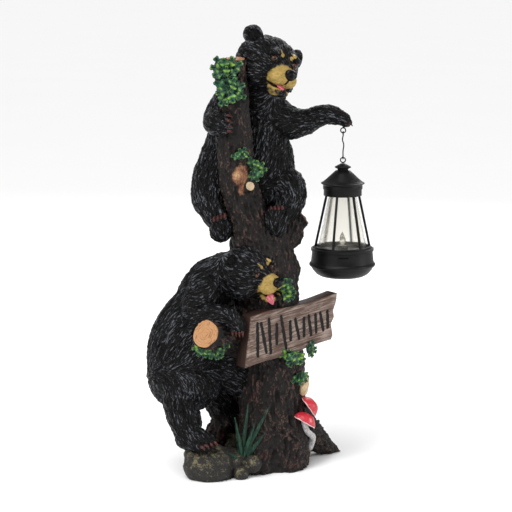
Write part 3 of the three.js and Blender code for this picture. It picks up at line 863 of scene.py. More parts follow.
BOULDERS = [
    ((-68, -44, 12), (30, 30, 26), (0, 3, 20)), ((-82, -40, 24), (15, 22, 15), (0, 0, 0)),
    ((-50, -28, 8), (38, 28, 20), (0, 0, 0)), ((-52, 24, 14), (34, 26, 24), (0, 0, 15)),
]
PEBBLES = [((-19, -45, 14), (10.5, 9.5, 10.5), (0, 20, 0)), ((-32, -54, 5.5), (9, 8, 9.5), (0, 0, 30))]


def build_stones():
    """Field stones and pebbles round the foot, with lichen and a painted highlight on their tops and fronts.
    """
    for name, stones, voxel, lump, lit in (
        ("boulders", BOULDERS, 1.5, 1.6, 0.68),
        ("pebbles", PEBBLES, 0.9, 0.7, 0.55),
    ):
        clay = Clay()
        for centre, radii, turn in stones:
            clay.ball(centre, radii, turn)
        piece = clay.cast(name, voxel, smoothing=3)
        places, normals = mesh_arrays(piece)
        lumps = np.fromiter((noise.noise(p) for p in (places / 11).tolist()), float, len(places))
        grit = np.fromiter((noise.noise(p) for p in (places / 3).tolist()), float, len(places))
        move_out(piece, places, normals, lump * lumps + 0.35 * lump * grit - 0.3 * lump)
        cut_at_ground(piece)
        hand_over(piece, stone_paint(name + "_paint", lit))


def stone_paint(name, lit):
    """Dark stone with lichen and a painted highlight where it faces up and forward, the side the light comes
    from; lit says how far down that reaches.
    """
    shades = colours()
    paint = Paint(name, roughness=0.6, Specular_IOR_Level=0.3)
    facing = paint.node("ShaderNodeNewGeometry", {}, {}, "Normal")
    # painted highlight: the lichen colour also goes where the stone faces up and forward, towards the light
    front = LAYOUT.to_3x3().normalized() @ Vector((-0.15, -0.75, 0.65))
    up = paint.vectors("DOT_PRODUCT", facing, front, "Value")
    lichen = (up * 0.9 + (paint.noise(6) - 0.5) * 3 + (paint.noise(1.6) - 0.5) * 2.4).over(lit, lit + 0.85)
    grit = paint.noise(1.2)
    base = paint.mix(grit.over(0.4, 0.7), shades["stone"], shade(2.2, shades["stone"]))
    return paint.finish(paint.mix(lichen * 0.8, base, shades["lichen"]), 0.75 - grit * 0.3, grit, 0.7)


# Leaves, grass and fungi


def leaf_blade():
    """One leaf, 1 long, lying in XZ with its tip up: deep lobes, folded on its rib and ruffled."""
    across, along = 8, 22
    lobes = 2.1
    bpy.ops.mesh.primitive_grid_add(x_subdivisions=across, y_subdivisions=along, size=2)
    leaf = bpy.context.object
    fold = sizes().leaf_fold
    glow = []
    for vertex in leaf.data.vertices:
        side, t = vertex.co.x, (vertex.co.y + 1) / 2
        wave = 2 * math.pi * lobes * t - 1.2
        envelope = (math.sin(math.pi * min(1, 0.08 + 0.9 * t)) ** 0.5) * (0.75 + 0.3 * t)
        finger = 0.5 + 0.5 * math.cos(wave)
        half = 0.4 * envelope * (0.34 + 0.66 * finger ** 0.7)
        plump = 0.07 * finger * (1 - side * side)
        lift = fold * abs(side) - 0.2 * (t - 0.3) ** 2 + plump
        reach = t + 0.22 * side * side * finger * (1.1 - t)
        vertex.co = (side * half, -lift, reach)
        # glow: dry-brushing and painted highlight together, lighter along each lobe's middle and towards the
        # tip, dark at the very edge
        glow.append(finger ** 2 * (0.3 + abs(side)) * (1 - side ** 8) * (0.55 + 0.45 * t))
    store(leaf, "glow", np.array(glow))
    solid = leaf.modifiers.new("thickness", "SOLIDIFY")
    solid.thickness = 0.08
    solid.offset = 0
    apply_modifiers(leaf)
    bpy.ops.object.mode_set(mode="EDIT")
    face_outward()
    return leaf


# The leaves of a tuft by turns: share of its length, how far it stands out, how far its tip leans out
LEAF_LAYERS = ((1, 0, 4), (0.82, -3.0, 24), (0.93, -1.5, 14))
# Tufts: place, first and last spin, count, length, yaw, pitch
TUFTS = [
    ((-47, -33.8, 452), -140, 60, 7, 20, -8, 0),
    ((-46, -35.8, 447), -60, 120, 4, 15, -8, 0),
    ((-44.5, -34.6, 432), -150, 160, 8, 20, 0, -4),
    ((-43, -36.6, 429), -60, 200, 4, 15, 0, -4),
    ((-31, -29, 357), -80, 50, 5, 12, 4, 0),
    ((-18, -22, 343), -20, 200, 7, 15, 8, 0),
    ((13, -29, 208), -40, 150, 8, 17, 15, 0),
    ((26, -27.5, 139), -100, -230, 7, 18, 22, 0),
    ((41, -16, 139.5), 50, 140, 4, 13, 30, 0),
    ((-62, -58, 153), 90, 270, 8, 18, -5, 15),
    ((-73, -63, 152), 130, 260, 4, 13, -5, 15),
    ((33, -16, 112), 120, 230, 4, 15, 40, 0),
]


def build_leaves():
    """Tufts of lobed leaves, all one leaf copied."""
    pattern = leaf_blade()
    made = []
    for at, first, last, count, length, yaw, pitch in TUFTS:
        tuft = Matrix.Translation(at) @ about("Z", yaw) @ about("X", pitch)
        for n in range(count):
            spin = first + (last - first) * n / (count - 1)
            share, out, lean = LEAF_LAYERS[n % 3]
            leaf = pattern.copy()
            leaf.data = pattern.data.copy()
            bpy.context.collection.objects.link(leaf)
            own = Matrix.Translation((0, out, 0)) @ about("Y", spin) @ about("X", lean)
            leaf.data.transform(tuft @ own @ Matrix.Scale(length * share, 4))
            tint = leaf.data.attributes.new("tint", "FLOAT", "POINT")
            tint.data.foreach_set("value", [noise.random()] * len(leaf.data.vertices))
            made.append(leaf)
    bpy.data.objects.remove(pattern)
    piece = join(made, "leaves")
    return hand_over(piece, leaf_paint())


def leaf_paint():
    shades = colours()
    paint = Paint("leaf_enamel", roughness=0.38)
    tint = paint.attribute("tint")
    glow = paint.attribute("glow")
    # the yellow-green on the lobes is dry-brushing and painted highlight together
    brushed = (glow * 0.8 + paint.noise(4.5) * 0.9 + paint.noise(1.2) * 0.6 + tint * 0.25).over(0.95, 1.55)
    green = paint.mix(paint.noise(9).over(0.4, 0.65), shades["leaf"], (0.01, 0.075, 0.03))
    bright = paint.mix(tint, (0.08, 0.3, 0.03), shades["leaf_brush"])
    return paint.finish(paint.mix(brushed, green, bright), 0.45 - brushed * 0.15, paint.noise(1.0), 0.35)


def build_grass():
    """Flat blades of grass that lean on the trunk."""
    blades = [
        ((-30, -38, 18), (-24, -32, 80)), ((-32, -39, 18), (-39, -40, 66)), ((-26, -39, 18), (0, -35, 78)),
        ((-24, -39, 18), (-5, -38, 48)), ((-28, -40, 18), (-16, -37, 60)), ((-34, -42, 16), (-50, -52, 30)),
    ]
    made = []
    for foot, tip in blades:
        low, high = Vector(foot), Vector(tip)
        bow = Vector(((high.x - low.x) * 0.22, -1.5, (high.z - low.z) * 0.12))
        belly, neck = low.lerp(high, 0.35) - bow, low.lerp(high, 0.7) - bow * 0.6
        middle = Matrix.Translation(low.lerp(high, 0.5))
        flatten = middle @ Matrix.Diagonal((1, 0.55, 1, 1)) @ middle.inverted()
        for form in tube([(*low, 2.2), (*belly, 2.6), (*neck, 1.9), (*high, 0.5)]):
            form.data.transform(flatten)
            made.append(form)
    piece = join(made, "grass")
    return hand_over(piece, grass_paint())


def grass_paint():
    paint = Paint("grass_enamel", roughness=0.35, Specular_IOR_Level=0.3)
    streak = paint.noise(1.6, paint.stretched((1, 1, 0.15))).over(0.4, 0.7)
    return paint.finish(paint.mix(streak * 0.6, (0.002, 0.02, 0.012), (0.04, 0.13, 0.07)), None, streak, 0.5)


# A toadstool's cap as (radius, height), and its widest radius
CAP_PROFILE = (
    (0, 9), (3, 8.8), (6, 7.8), (8.5, 6.2), (10.5, 4), (11.8, 1.5), (12.3, -0.6), (11.6, -1),
    (10, 0.6), (6, 2), (0, 2.6),
)
CAP_RADIUS = 12.3
# Caps: place, size and tilt
CAPS = (((44, -8, 71), 1.05, (-8, 54, 0)), ((39, -17, 56), 1.12, (-10, 30, 0)))
STALK = [(39, -12, 54, 3.2), (42, -9, 44, 3.3), (46.5, 2, 36, 3.5), (49.5, 15, 28, 3.9), (46, 18, 17, 4.6)]


def crumple(piece, depth, grain):
    for vertex in piece.data.vertices:
        vertex.co += depth * noise.noise_vector(vertex.co / grain)


def build_fungi():
    """Two toadstools on a bent stalk, and a bracket fungus."""
    caps = []
    for place, size, tilt in CAPS:
        cap = turned([(r * size, h * size) for r, h in CAP_PROFILE], steps=40)
        rim = []
        for vertex in cap.data.vertices:
            x, y, z = vertex.co / size
            rim.append(math.hypot(x, y) / CAP_RADIUS - 0.25 * max(0, z))
        store(cap, "rim", np.array(rim))
        crumple(cap, 0.9, 7)
        cap.data.transform(Matrix.Translation(place) @ turned_by(tilt))
        caps.append(cap)
    hand_over(join(caps, "toadstool_caps"), cap_paint())
    stalk = join(tube(STALK), "toadstool_stalk")
    hand_over(stalk, plain_paint("stalk_paint", (0.62, 0.6, 0.6), (0.3, 0.29, 0.3), 2.5))
    bracket = ball((39, -8, 96), (6, 9, 13), turn=(0, 6, 0), segments=40, rings=28)
    crumple(bracket, 1.3, 5)
    named(bracket, "bracket_fungus")
    hand_over(bracket, plain_paint("bracket_paint", (0.66, 0.5, 0.3), (0.35, 0.24, 0.13), 5))


def cap_paint():
    shades = colours()
    paint = Paint("cap_enamel", roughness=0.35)
    streak = (paint.noise(5) + paint.noise(1.5) * 0.4).over(0.72, 0.95)
    rim = (paint.attribute("rim") + (paint.noise(3) - 0.5) * 0.3).over(0.82, 0.98)
    red = paint.mix(streak * 0.5, shades["cap"], (0.8, 0.3, 0.32))
    return paint.finish(paint.mix(rim, red, (0.8, 0.66, 0.64)), None, paint.noise(2), 0.4)


def plain_paint(name, light, dark, size):
    paint = Paint(name, roughness=0.5)
    tone = (paint.noise(size) + paint.noise(size / 4) * 0.4).over(0.45, 0.9)
    return paint.finish(paint.mix(tone, dark, light), None, paint.noise(size / 3), 0.5)


# Sign board

BOARD_LENGTH = 118
BOARD_LEFT = 54.5
BOARD_RIGHT = 50
BOARD_THICK = 22
BOARD_LEAN = 0.3
BOARD_AT = Matrix.Translation((-26, -62, 127)) @ about("Z", 34) @ about("X", 90) @ about("Z", 9)
# The right end: share of the height, and how far it stands out there
RAGGED = ((0, 0), (0.1, 1.5), (0.36, -3), (0.5, 0.5), (0.64, -2), (0.82, 1), (1, 1))
# Brush strokes from left to right, none of them a letter: share of the length, size, lean in degrees
BRUSH_STROKES = (
    (0.1, 37, -8), (0.17, 34, 3), (0.24, 38, -5), (0.32, 22, -9), (0.4, 38, 2), (0.48, 21, -6),
    (0.56, 23, 4), (0.64, 21, -8), (0.71, 23, 0), (0.78, 20, -5), (0.85, 21, 3), (0.92, 19, -7),
)


def board_top(share):
    """The board's height at a share of its length."""
    return BOARD_LEFT + (BOARD_RIGHT - BOARD_LEFT) * share + 1.6 * math.sin(7 * share)


def wetness(place):
    """How much ink a brush stroke leaves at a place on the board's face, from 0 to 1."""
    wet = 0.0
    rough = 0.6 * noise.noise(place / 3)
    for share, size, lean in BRUSH_STROKES:
        rise = 0.5 * board_top(share)
        turn = math.radians(lean)
        way = Vector((-math.sin(turn), math.cos(turn), 0))
        off = place - Vector((share * BOARD_LENGTH + BOARD_LEAN * rise, rise, 0))
        reach = max(-size / 2, min(size / 2, off.dot(way)))
        thin = 0.6 * abs(reach) / size
        wet = max(wet, min(1, (2.5 - thin - (off - way * reach).length + rough) / 0.8))
    return max(0.0, wet)


def build_board():
    """The weathered board with its grain, ragged end and sunken strokes."""
    plan = sizes()
    columns, rows_up = ((150, 70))
    bpy.ops.mesh.primitive_grid_add(x_subdivisions=columns, y_subdivisions=rows_up, size=1)
    board = bpy.context.object
    bpy.ops.object.mode_set(mode="EDIT")
    bpy.ops.mesh.select_all(action="SELECT")
    bpy.ops.mesh.extrude_region_move(TRANSFORM_OT_translate={"value": (0, 0, -1)})
    face_outward()
    ink = []
    for vertex in board.data.vertices:
        t, up, deep = vertex.co.x + 0.5, vertex.co.y + 0.5, -vertex.co.z
        top = board_top(t)
        ragged = np.interp(up, *zip(*RAGGED)) * max(0, (t - 0.85) / 0.15)
        height = up * top + 0.8 * math.sin(9 * t) * (1 - up)
        along = t * BOARD_LENGTH + ragged + BOARD_LEAN * height
        edge = min(t * BOARD_LENGTH, (1 - t) * BOARD_LENGTH, up * top, (1 - up) * top)
        rounding = 1.8 * max(0, 1 - edge / 2.2) ** 2
        wet = 0.0
        depth = BOARD_THICK - rounding
        if deep < 0.5:
            grain = noise.noise((along / 42, height / 1.7, 4))
            grain += 0.6 * noise.noise((along / 18, height / 0.9, 9))
            wet = wetness(Vector((along, height, 0)))
            depth = rounding + plan.stroke_depth * wet - plan.grain_depth * grain * (1 - wet)
        vertex.co = (along, height, -depth)
        ink.append(wet)
    store(board, "ink", np.array(ink))
    board.data.transform(BOARD_AT)
    return hand_over(named(board, "sign_board"), board_paint())


def board_paint():
    """Weathered brown-grey wood, whitish on its grain, with black brush strokes."""
    shades = colours()
    paint = Paint("board_paint", roughness=0.6, Specular_IOR_Level=0.3)
    at = paint.local(LAYOUT @ BOARD_AT)
    long_grain = paint.vectors("MULTIPLY", at, (0.055, 0.9, 0.5))
    grain = paint.noise(1 / 0.6, long_grain, detail=5, roughness=0.65, distortion=0.5, unit=1)
    blotch = paint.noise(20)
    pale = (grain + (blotch - 0.5) * 0.5).over(0.43, 0.68)
    wood = paint.mix(pale, shades["board"], shades["board_brush"])
    cracks = 1 - grain.over(0.3, 0.42)
    wood = paint.mix(cracks, wood, (0.03, 0.018, 0.014))
    ink = (paint.attribute("ink") + (paint.noise(1.4) - 0.5) * 0.5).over(0.35, 0.6)
    wood = paint.mix(1 - paint.axis(at, "Z").over(-4, -1.5), wood, (0.03, 0.015, 0.011))
    return paint.finish(paint.mix(ink, wood, (0.002, 0.002, 0.002)), 0.7 - grain * 0.25, grain, 1.0)


# Lantern


def turned(profile, steps):
    """A profile of (radius, height) pairs turned about Z."""
    bpy.ops.mesh.primitive_plane_add(size=1)
    piece = bpy.context.object
    bpy.ops.object.mode_set(mode="EDIT")
    work = bmesh.from_edit_mesh(piece.data)
    bmesh.ops.delete(work, geom=work.verts, context="VERTS")
    points = [work.verts.new((r, 0, h)) for r, h in profile]
    for here, there in zip(points, points[1:]):
        work.edges.new((here, there))
    bmesh.update_edit_mesh(piece.data)
    bpy.ops.mesh.select_all(action="SELECT")
    bpy.ops.mesh.spin(steps=steps, angle=2 * math.pi, center=(0, 0, 0), axis=(0, 0, 1))
    bpy.ops.mesh.select_all(action="SELECT")
    bpy.ops.mesh.remove_doubles(threshold=1e-5)
    face_outward()
    return piece


class LanternPlan:
    """The lantern's sizes in metres, read from the frame's own nodes."""

    def __init__(self):
        low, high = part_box("lantern_base")
        self.x, self.y = (low.x + high.x) / 2, (low.y + high.y) / 2
        self.base_low, self.base_high = low.z, high.z
        self.base_radius = (high.x - low.x) / 2
        low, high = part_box("lantern_roof")
        self.roof_low, self.roof_high = low.z, high.z
        self.rim_radius = (high.x - low.x) / 2
        low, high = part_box("lantern_glass")
        self.glass_low, self.glass_high = low.z, high.z
        self.glass_radius = (high.x - low.x) / 2
        self.cage_low, self.cage_high = (corner.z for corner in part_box("lantern_cage"))
        self.axis = Matrix.Translation((self.x, self.y, 0))


# Outlines of the turned parts: share of the widest radius, share of the height from the start
ROOF_OUTLINE = (
    (0, 0), (0.1, 0.0), (0.2, 0.04), (0.36, 0.1), (0.38, 0.115), (0.36, 0.135), (0.26, 0.165),
    (0.24, 0.2), (0.26, 0.22), (0.34, 0.228), (0.5, 0.33), (0.75, 0.49), (0.93, 0.59), (0.99, 0.605),
    (1, 0.62), (0.99, 0.635), (0.93, 0.65), (0.9, 0.68), (0.905, 0.7), (0.905, 0.78), (0.9, 0.8),
    (0.875, 0.81), (0.872, 0.83), (0.872, 1), (0.81, 1), (0.81, 0.74), (0.2, 0.32), (0, 0.3),
)
BASE_OUTLINE = (
    (0, 0.91), (0.893, 0.91), (0.893, 1), (0.93, 1), (0.95, 0.985), (0.95, 0.91), (0.915, 0.89),
    (0.92, 0.85), (0.945, 0.55), (0.955, 0.5), (0.99, 0.46), (1, 0.43), (1, 0.4), (0.985, 0.37),
    (0.94, 0.35), (0.9, 0.25), (0.79, 0.1), (0.68, 0.03), (0.6, 0), (0, 0),
)
FLAME_OUTLINE = (
    (0, 0), (0.6, 0), (0.62, 0.04), (0.72, 0.1), (0.95, 0.24), (1, 0.34), (0.95, 0.45), (0.78, 0.6),
    (0.52, 0.76), (0.24, 0.9), (0, 1),
)
SOCKET_OUTLINE = ((0, 0), (1, 0), (1, 0.5), (0.93, 0.6), (0.93, 0.9), (0.85, 1), (0, 1))
# The cage's radius at its foot and its top, and its bars
CAGE_FOOT = 33.2 * MM
CAGE_TOP = 19.6 * MM
BAR_COUNT = 6
BAR_TURN = 8
BAR_THICK = 2.6 * MM
BAR_WIDE = 2.4 * MM
# The slot, and how far it is under the base's top
SLOT_SIZE = (11 * MM, 5 * MM, 2 * MM)
SLOT_DROP = 7 * MM
# The panes: how much narrower they are at the top, how thick, and how far inside their solid
GLASS_TAPER = 14.3 * MM
GLASS_WALL = 1.2 * MM
GLASS_INSET = 0.2 * MM
# The wires: their own radius, a ring's and a hook's
WIRE_RADIUS = 0.7 * MM
RING_RADIUS = 2.8 * MM
HOOK_RADIUS = 2.2 * MM


def lantern_piece(piece, name, node, material, angle=35):
    named(piece, name)
    return hand_over(piece, material, node=node, layout=False, angle=angle)


def outlined(outline, radius, start, end, steps):
    """A turned piece from an outline of shares, between two heights."""
    return turned([(share * radius, start + part * (end - start)) for share, part in outline], steps)


def build_roof(plan, steps, material):
    piece = outlined(ROOF_OUTLINE, plan.rim_radius, plan.roof_high, plan.roof_low, steps)
    piece.data.transform(plan.axis)
    return lantern_piece(piece, "roof", "lantern_roof", material)


def build_base(plan, steps, material):
    piece = outlined(BASE_OUTLINE, plan.base_radius, plan.base_low, plan.base_high, steps)
    piece.data.transform(plan.axis)
    slot_cut(piece, plan)
    return lantern_piece(piece, "base", "lantern_base", material, angle=30)


def slot_cut(piece, plan):
    """Cuts the small dark slot in the front of the base."""
    front = Matrix.Rotation(QUARTER_TURN, 4, "Z") @ Vector((0, -1, 0))
    place = Vector((plan.x, plan.y, plan.base_high - SLOT_DROP)) + front * (plan.base_radius * 0.93)
    bpy.ops.mesh.primitive_cube_add(size=1, location=place, rotation=(0, 0, QUARTER_TURN), scale=SLOT_SIZE)
    cutter = bpy.context.object
    cut = piece.modifiers.new("slot", "BOOLEAN")
    cut.operation = "DIFFERENCE"
    cut.object = cutter
    cut.solver = "EXACT"
    apply_modifiers(piece)
    bpy.data.objects.remove(cutter)


def build_cage(plan, steps, material):
    """Flat bars between two hoops."""
    tall = plan.cage_high - plan.cage_low

    def outer(share):
        return CAGE_FOOT + (CAGE_TOP - CAGE_FOOT) * share

    parts = []
    for start, end in ((0, 0.07), (0.95, 1)):
        outside = [(outer(start), start), (outer(end), end)]
        inside = [(outer(end) - BAR_THICK, end), (outer(start) - BAR_THICK, start)]
        ring = outside + inside + outside[:1]
        parts.append(turned([(r, plan.cage_low + share * tall) for r, share in ring], steps))
    for n in range(BAR_COUNT):
        bpy.ops.mesh.primitive_cube_add(size=1)
        bar = bpy.context.object
        for vertex in bar.data.vertices:
            share = vertex.co.z + 0.5
            out = outer(share) - BAR_THICK / 2 + vertex.co.x * BAR_THICK
            vertex.co = (out, vertex.co.y * BAR_WIDE, plan.cage_low + (0.02 + 0.96 * share) * tall)
        bevel = bar.modifiers.new("edge", "BEVEL")
        bevel.width = 0.4 * MM
        bevel.segments = 2
        apply_modifiers(bar)
        angle = math.radians(BAR_TURN - 90 + 360 / BAR_COUNT * (n + 0.5)) + QUARTER_TURN
        bar.data.transform(Matrix.Rotation(angle, 4, "Z"))
        parts.append(bar)
    piece = join(parts, "cage")
    piece.data.transform(plan.axis)
    return lantern_piece(piece, "cage", "lantern_cage", material)


def build_glass(plan, steps, material):
    low, high = plan.glass_low, plan.glass_high
    foot = plan.glass_radius - GLASS_INSET
    top = foot - GLASS_TAPER
    outside = [(foot, low), (top, high)]
    inside = [(top - GLASS_WALL, high), (foot - GLASS_WALL, low)]
    piece = turned(outside + inside + outside[:1], steps)
    piece.data.transform(plan.axis)
    return lantern_piece(piece, "pane", "lantern_glass", material)


def build_bulb(plan, material):
    """The clear flame, with three soft ridges that wind up it."""
    low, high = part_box("flame_bulb")
    piece = outlined(FLAME_OUTLINE, (high.x - low.x) / 2, low.z, high.z, 32)
    for vertex in piece.data.vertices:
        twist = 6 * (vertex.co.z - low.z) / (high.z - low.z)
        angle = math.atan2(vertex.co.y, vertex.co.x)
        reach = math.hypot(vertex.co.x, vertex.co.y) * (0.93 + 0.07 * math.cos(3 * angle + twist))
        vertex.co.x, vertex.co.y = reach * math.cos(angle), reach * math.sin(angle)
    piece.data.transform(plan.axis)
    return lantern_piece(piece, "bulb", "flame_bulb", material, angle=60)


def build_socket(plan, material):
    low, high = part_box("lamp_socket")
    piece = outlined(SOCKET_OUTLINE, (high.x - low.x) / 2, low.z, high.z, 40)
    piece.data.transform(plan.axis)
    return lantern_piece(piece, "socket", "lamp_socket", material)


def wire_piece(name, node, places, material, closed=False):
    """A bent wire through its places."""
    wire = swept(places, [WIRE_RADIUS] * len(places), steps=6, bevel=3, closed=closed)
    return lantern_piece(wire, name, node, material, angle=60)


def hook_bend(height, first):
    """Places round one bend of the hook, from a first angle in degrees."""
    angles = [math.radians(first + 305 * n / 7) for n in range(8)]
    return [(0, HOOK_RADIUS * math.cos(a), height + HOOK_RADIUS * math.sin(a)) for a in angles]


def build_wires(plan, material):
    """The lantern's ring, the eye in the paw with its shank, and the hook between them."""
    turn = plan.axis @ Matrix.Rotation(QUARTER_TURN, 4, "Z")

    def circle(height):
        angles = [2 * math.pi * n / 12 for n in range(12)]
        spots = [(RING_RADIUS * math.cos(a), 0, height + RING_RADIUS * math.sin(a)) for a in angles]
        return [turn @ Vector(spot) for spot in spots]

    ring_low, ring_high = (corner.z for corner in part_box("lantern_ring"))
    eye_low, eye_high = (corner.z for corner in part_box("paw_eye"))
    hook_low, hook_high = (corner.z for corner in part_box("lantern_hook"))
    eye_middle = eye_low + RING_RADIUS + WIRE_RADIUS
    wire_piece("ring", "lantern_ring", circle((ring_low + ring_high) / 2), material, closed=True)
    wire_piece("eye", "paw_eye", circle(eye_middle), material, closed=True)
    upper = hook_high - HOOK_RADIUS - WIRE_RADIUS
    lower = hook_low + HOOK_RADIUS + WIRE_RADIUS
    wave = [
        (-0.7 * MM, 0, upper - HOOK_RADIUS - 5 * MM),
        (0.7 * MM, 0, upper - HOOK_RADIUS - 10 * MM),
        (0, 0, lower + HOOK_RADIUS + 4 * MM),
    ]
    spots = hook_bend(upper, -40) + wave + hook_bend(lower, 95)
    wire_piece("hook", "lantern_hook", [turn @ Vector(spot) for spot in spots], material)
    shank = [turn @ Vector((0, 0, z)) for z in (eye_middle + RING_RADIUS, eye_high - 1 * MM, eye_high)]
    wire_piece("shank", "paw_eye", shank, material)


def lantern_paint(name, roughness, metallic=0.0):
    """Satin black with a fine texture and lighter patches of dust."""
    paint = Paint(name, roughness=roughness, Metallic=metallic, Specular_IOR_Level=0.18)
    dust = paint.noise(14).over(0.45, 0.75)
    fine = paint.noise(0.7, detail=1)
    colour = paint.mix(dust * 0.5, (0.003, 0.003, 0.0035), (0.012, 0.012, 0.013))
    return paint.finish(colour, roughness + dust * 0.12, fine, 0.08)


def clear_paint(name, tint, bending, cover):
    """Clear plastic; bending is its index, and cover how much of what is behind it the surface takes."""
    paint = Paint(name, roughness=0.0, Transmission_Weight=0.92, IOR=bending, Alpha=cover)
    return paint.finish(tint)


# Operators


class Maker(bpy.types.Operator):
    """Shared by the operators of the statue"""

    bl_options = {"REGISTER", "UNDO"}

    def execute(self, context):
        self.make()
        return {"FINISHED"}


class STATUE_OT_upper_cub(Maker):
    """Models the cub in the fork of the stump"""

    bl_idname = "statue.upper_cub"
    bl_label = "Upper Cub"

    def make(self):
        clay = cub_body(UPPER_LIMBS, UPPER_FEET, UPPER_CLAWS, UPPER_TOE, UPPER_HEAD, UPPER_EARS)
        make_cub("upper", clay, UPPER_HEAD, UPPER_EARS, UPPER_CLAWS, UPPER_TONGUE)


class STATUE_OT_lower_cub(Maker):
    """Models the cub that climbs up to the board"""

    bl_idname = "statue.lower_cub"
    bl_label = "Lower Cub"

    def make(self):
        clay = cub_body(LOWER_LIMBS, LOWER_FEET, LOWER_CLAWS, LOWER_TOE, LOWER_HEAD, LOWER_EARS)
        make_cub("lower", clay, LOWER_HEAD, LOWER_EARS, LOWER_CLAWS, LOWER_TONGUE)


def make_cub(prefix, clay, head, ears, rows, tongue_form):
    fur_cub(prefix + "_cub", clay, head, ears, fur_paint(prefix + "_fur", head, ears))
    eyes, nose, tongue = face_pieces(prefix, head, tongue_form)
    hand_over(eyes, eye_paint(prefix + "_eye_enamel", head))
    hand_over(nose, nose_paint())
    hand_over(tongue, tongue_paint())
    hand_over(claws_piece(prefix + "_claws", rows), claw_paint())


class STATUE_OT_tree(Maker):
    """Models the stump, its sawn faces and the stones at its foot"""

    bl_idname = "statue.tree"
    bl_label = "Tree and Stones"

    def make(self):
        wood = colours()["cut_wood"]
        build_trunk()
        build_stones()
        for name, stations, share, light, dark, ring in (
            ("log_face", LOG, 0.95, wood, (0.24, 0.1, 0.04), 3.4),
            ("stub_face", STUB, 0.9, (0.24, 0.14, 0.1), (0.09, 0.05, 0.04), 2.5),
            ("twig_face", TWIG, 0.95, (0.52, 0.4, 0.25), (0.36, 0.23, 0.12), 1.6),
            ("stem_face", STEM, 0.9, (0.36, 0.17, 0.08), (0.13, 0.06, 0.035), 2.5),
        ):
            disc, tip = cut_face(name, stations, share)
            hand_over(disc, cut_paint(name + "_paint", tip, light, dark, ring), angle=40)


class STATUE_OT_plants(Maker):
    """Models the leaves, the grass and the fungi"""

    bl_idname = "statue.plants"
    bl_label = "Leaves, Grass and Fungi"

    def make(self):
        noise.seed_set(7)
        build_leaves()
        build_grass()
        build_fungi()


class STATUE_OT_board(Maker):
    """Models the sign board"""

    bl_idname = "statue.board"
    bl_label = "Sign Board"

    def make(self):
        build_board()


class STATUE_OT_lantern(Maker):
    """Models the lantern with its hook, ring and eye"""

    bl_idname = "statue.lantern"
    bl_label = "Lantern"

    def make(self):
        steps = sizes().lathe_steps
        plan = LanternPlan()
        black = lantern_paint("lantern_black", 0.42)
        wire = lantern_paint("wire_black", 0.35, metallic=0.4)
        build_roof(plan, steps, black)
        build_base(plan, steps, black)
        build_cage(plan, steps, black)
        build_glass(plan, steps, clear_paint("pane_clear", (0.78, 0.76, 0.69), 1.04, 0.5))
        build_bulb(plan, clear_paint("bulb_clear", (0.92, 0.9, 0.84), 1.4, 0.8))
        build_socket(plan, black)
        build_wires(plan, wire)


# The camera of the photo: what it looks at, how far off and how high it stands, and its lens
CAMERA_AIM = Vector((-15.3, -45, 250))
CAMERA_GAP = 2.2
CAMERA_RISE = math.radians(9.5)
SENSOR = 36
LENS = SENSOR * 2000 / 512


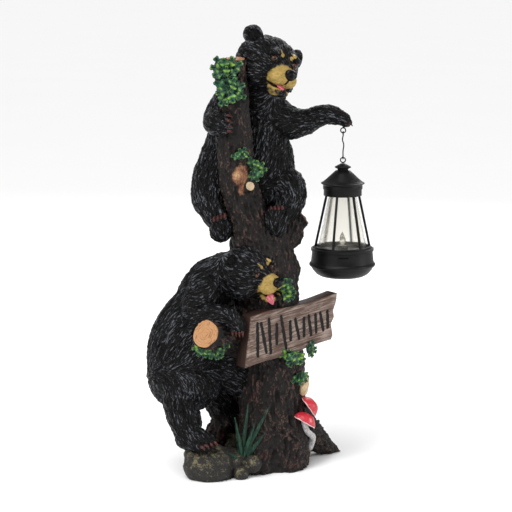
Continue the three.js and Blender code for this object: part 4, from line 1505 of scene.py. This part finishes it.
class STATUE_OT_stage(Maker):
    """Sets the floor, the lights and the camera"""

    bl_idname = "statue.stage"
    bl_label = "Stage"

    def hang(self, lamp, place):
        light = bpy.data.objects.new(lamp.name, lamp)
        bpy.context.scene.collection.objects.link(light)
        light.location = place
        light.rotation_euler = (Vector((0, 0, 0.25)) - place).to_track_quat("-Z", "Y").to_euler()

    def make(self):
        scene = bpy.context.scene
        bpy.ops.mesh.primitive_plane_add(size=120, location=(0, 0, -0.0005))
        floor = bpy.context.object
        floor.name = "floor"
        paint = Paint("floor_paper", roughness=0.95, Specular_IOR_Level=0.1)
        white = paint.mix(paint.noise(400), (0.93, 0.93, 0.93), (0.95, 0.95, 0.95))
        floor.data.materials.append(paint.finish(white))
        world = bpy.data.worlds.new("studio")
        scene.world = world
        world.use_nodes = True
        world.node_tree.nodes["Background"].inputs["Color"].default_value = (1, 1, 1, 1)
        world.node_tree.nodes["Background"].inputs["Strength"].default_value = 0.36
        turn = Matrix.Rotation(QUARTER_TURN, 4, "Z")
        sky = bpy.data.lights.new("overhead", "SUN")
        sky.energy = 2.3
        sky.angle = math.radians(50)
        self.hang(sky, turn @ Vector((-0.7, -0.9, 2.4)))
        for name, place, size, watts in (
            ("key", (-1.1, -1.5, 1.3), 0.6, 16),
            ("side", (1.6, -0.3, 0.7), 0.5, 10),
            ("back", (0.3, 1.5, 1.2), 0.8, 10),
        ):
            lamp = bpy.data.lights.new(name, "AREA")
            lamp.size = size
            lamp.energy = watts
            self.hang(lamp, turn @ Vector(place))
        camera = bpy.data.objects.new("camera", bpy.data.cameras.new("camera"))
        scene.collection.objects.link(camera)
        aim = LAYOUT @ CAMERA_AIM
        away = turn @ Vector((0, -math.cos(CAMERA_RISE), math.sin(CAMERA_RISE)))
        camera.location = aim + CAMERA_GAP * away
        camera.rotation_euler = (aim - camera.location).to_track_quat("-Z", "Y").to_euler()
        camera.data.lens = LENS
        camera.data.sensor_width = SENSOR
        scene.camera = camera
        scene.view_settings.view_transform = "Standard"


class STATUE_PT_panel(bpy.types.Panel):
    """Lists the steps of the statue"""

    bl_idname = "STATUE_PT_panel"
    bl_label = "Bear Cub Statue"
    bl_space_type = "VIEW_3D"
    bl_region_type = "UI"
    bl_category = "Statue"

    def draw(self, context):
        for group in (context.scene.statue_sizes, context.scene.statue_paint):
            for key in group.__annotations__:
                self.layout.prop(group, key)
        for step in STEPS:
            self.layout.operator(step.bl_idname)


STEPS = (
    STATUE_OT_tree, STATUE_OT_upper_cub, STATUE_OT_lower_cub, STATUE_OT_plants, STATUE_OT_board,
    STATUE_OT_lantern, STATUE_OT_stage,
)
CLASSES = (StatueSizes, StatuePaint, *STEPS, STATUE_PT_panel)


def register():
    for each in CLASSES:
        bpy.utils.register_class(each)
    bpy.types.Scene.statue_sizes = PointerProperty(type=StatueSizes)
    bpy.types.Scene.statue_paint = PointerProperty(type=StatuePaint)


def unregister():
    del bpy.types.Scene.statue_paint
    del bpy.types.Scene.statue_sizes
    for each in reversed(CLASSES):
        bpy.utils.unregister_class(each)


def main():
    register()
    bpy.ops.statue.tree()
    bpy.ops.statue.upper_cub()
    bpy.ops.statue.lower_cub()
    bpy.ops.statue.plants()
    bpy.ops.statue.board()
    bpy.ops.statue.lantern()
    bpy.ops.statue.stage()


if __name__ == "__main__":
    main()
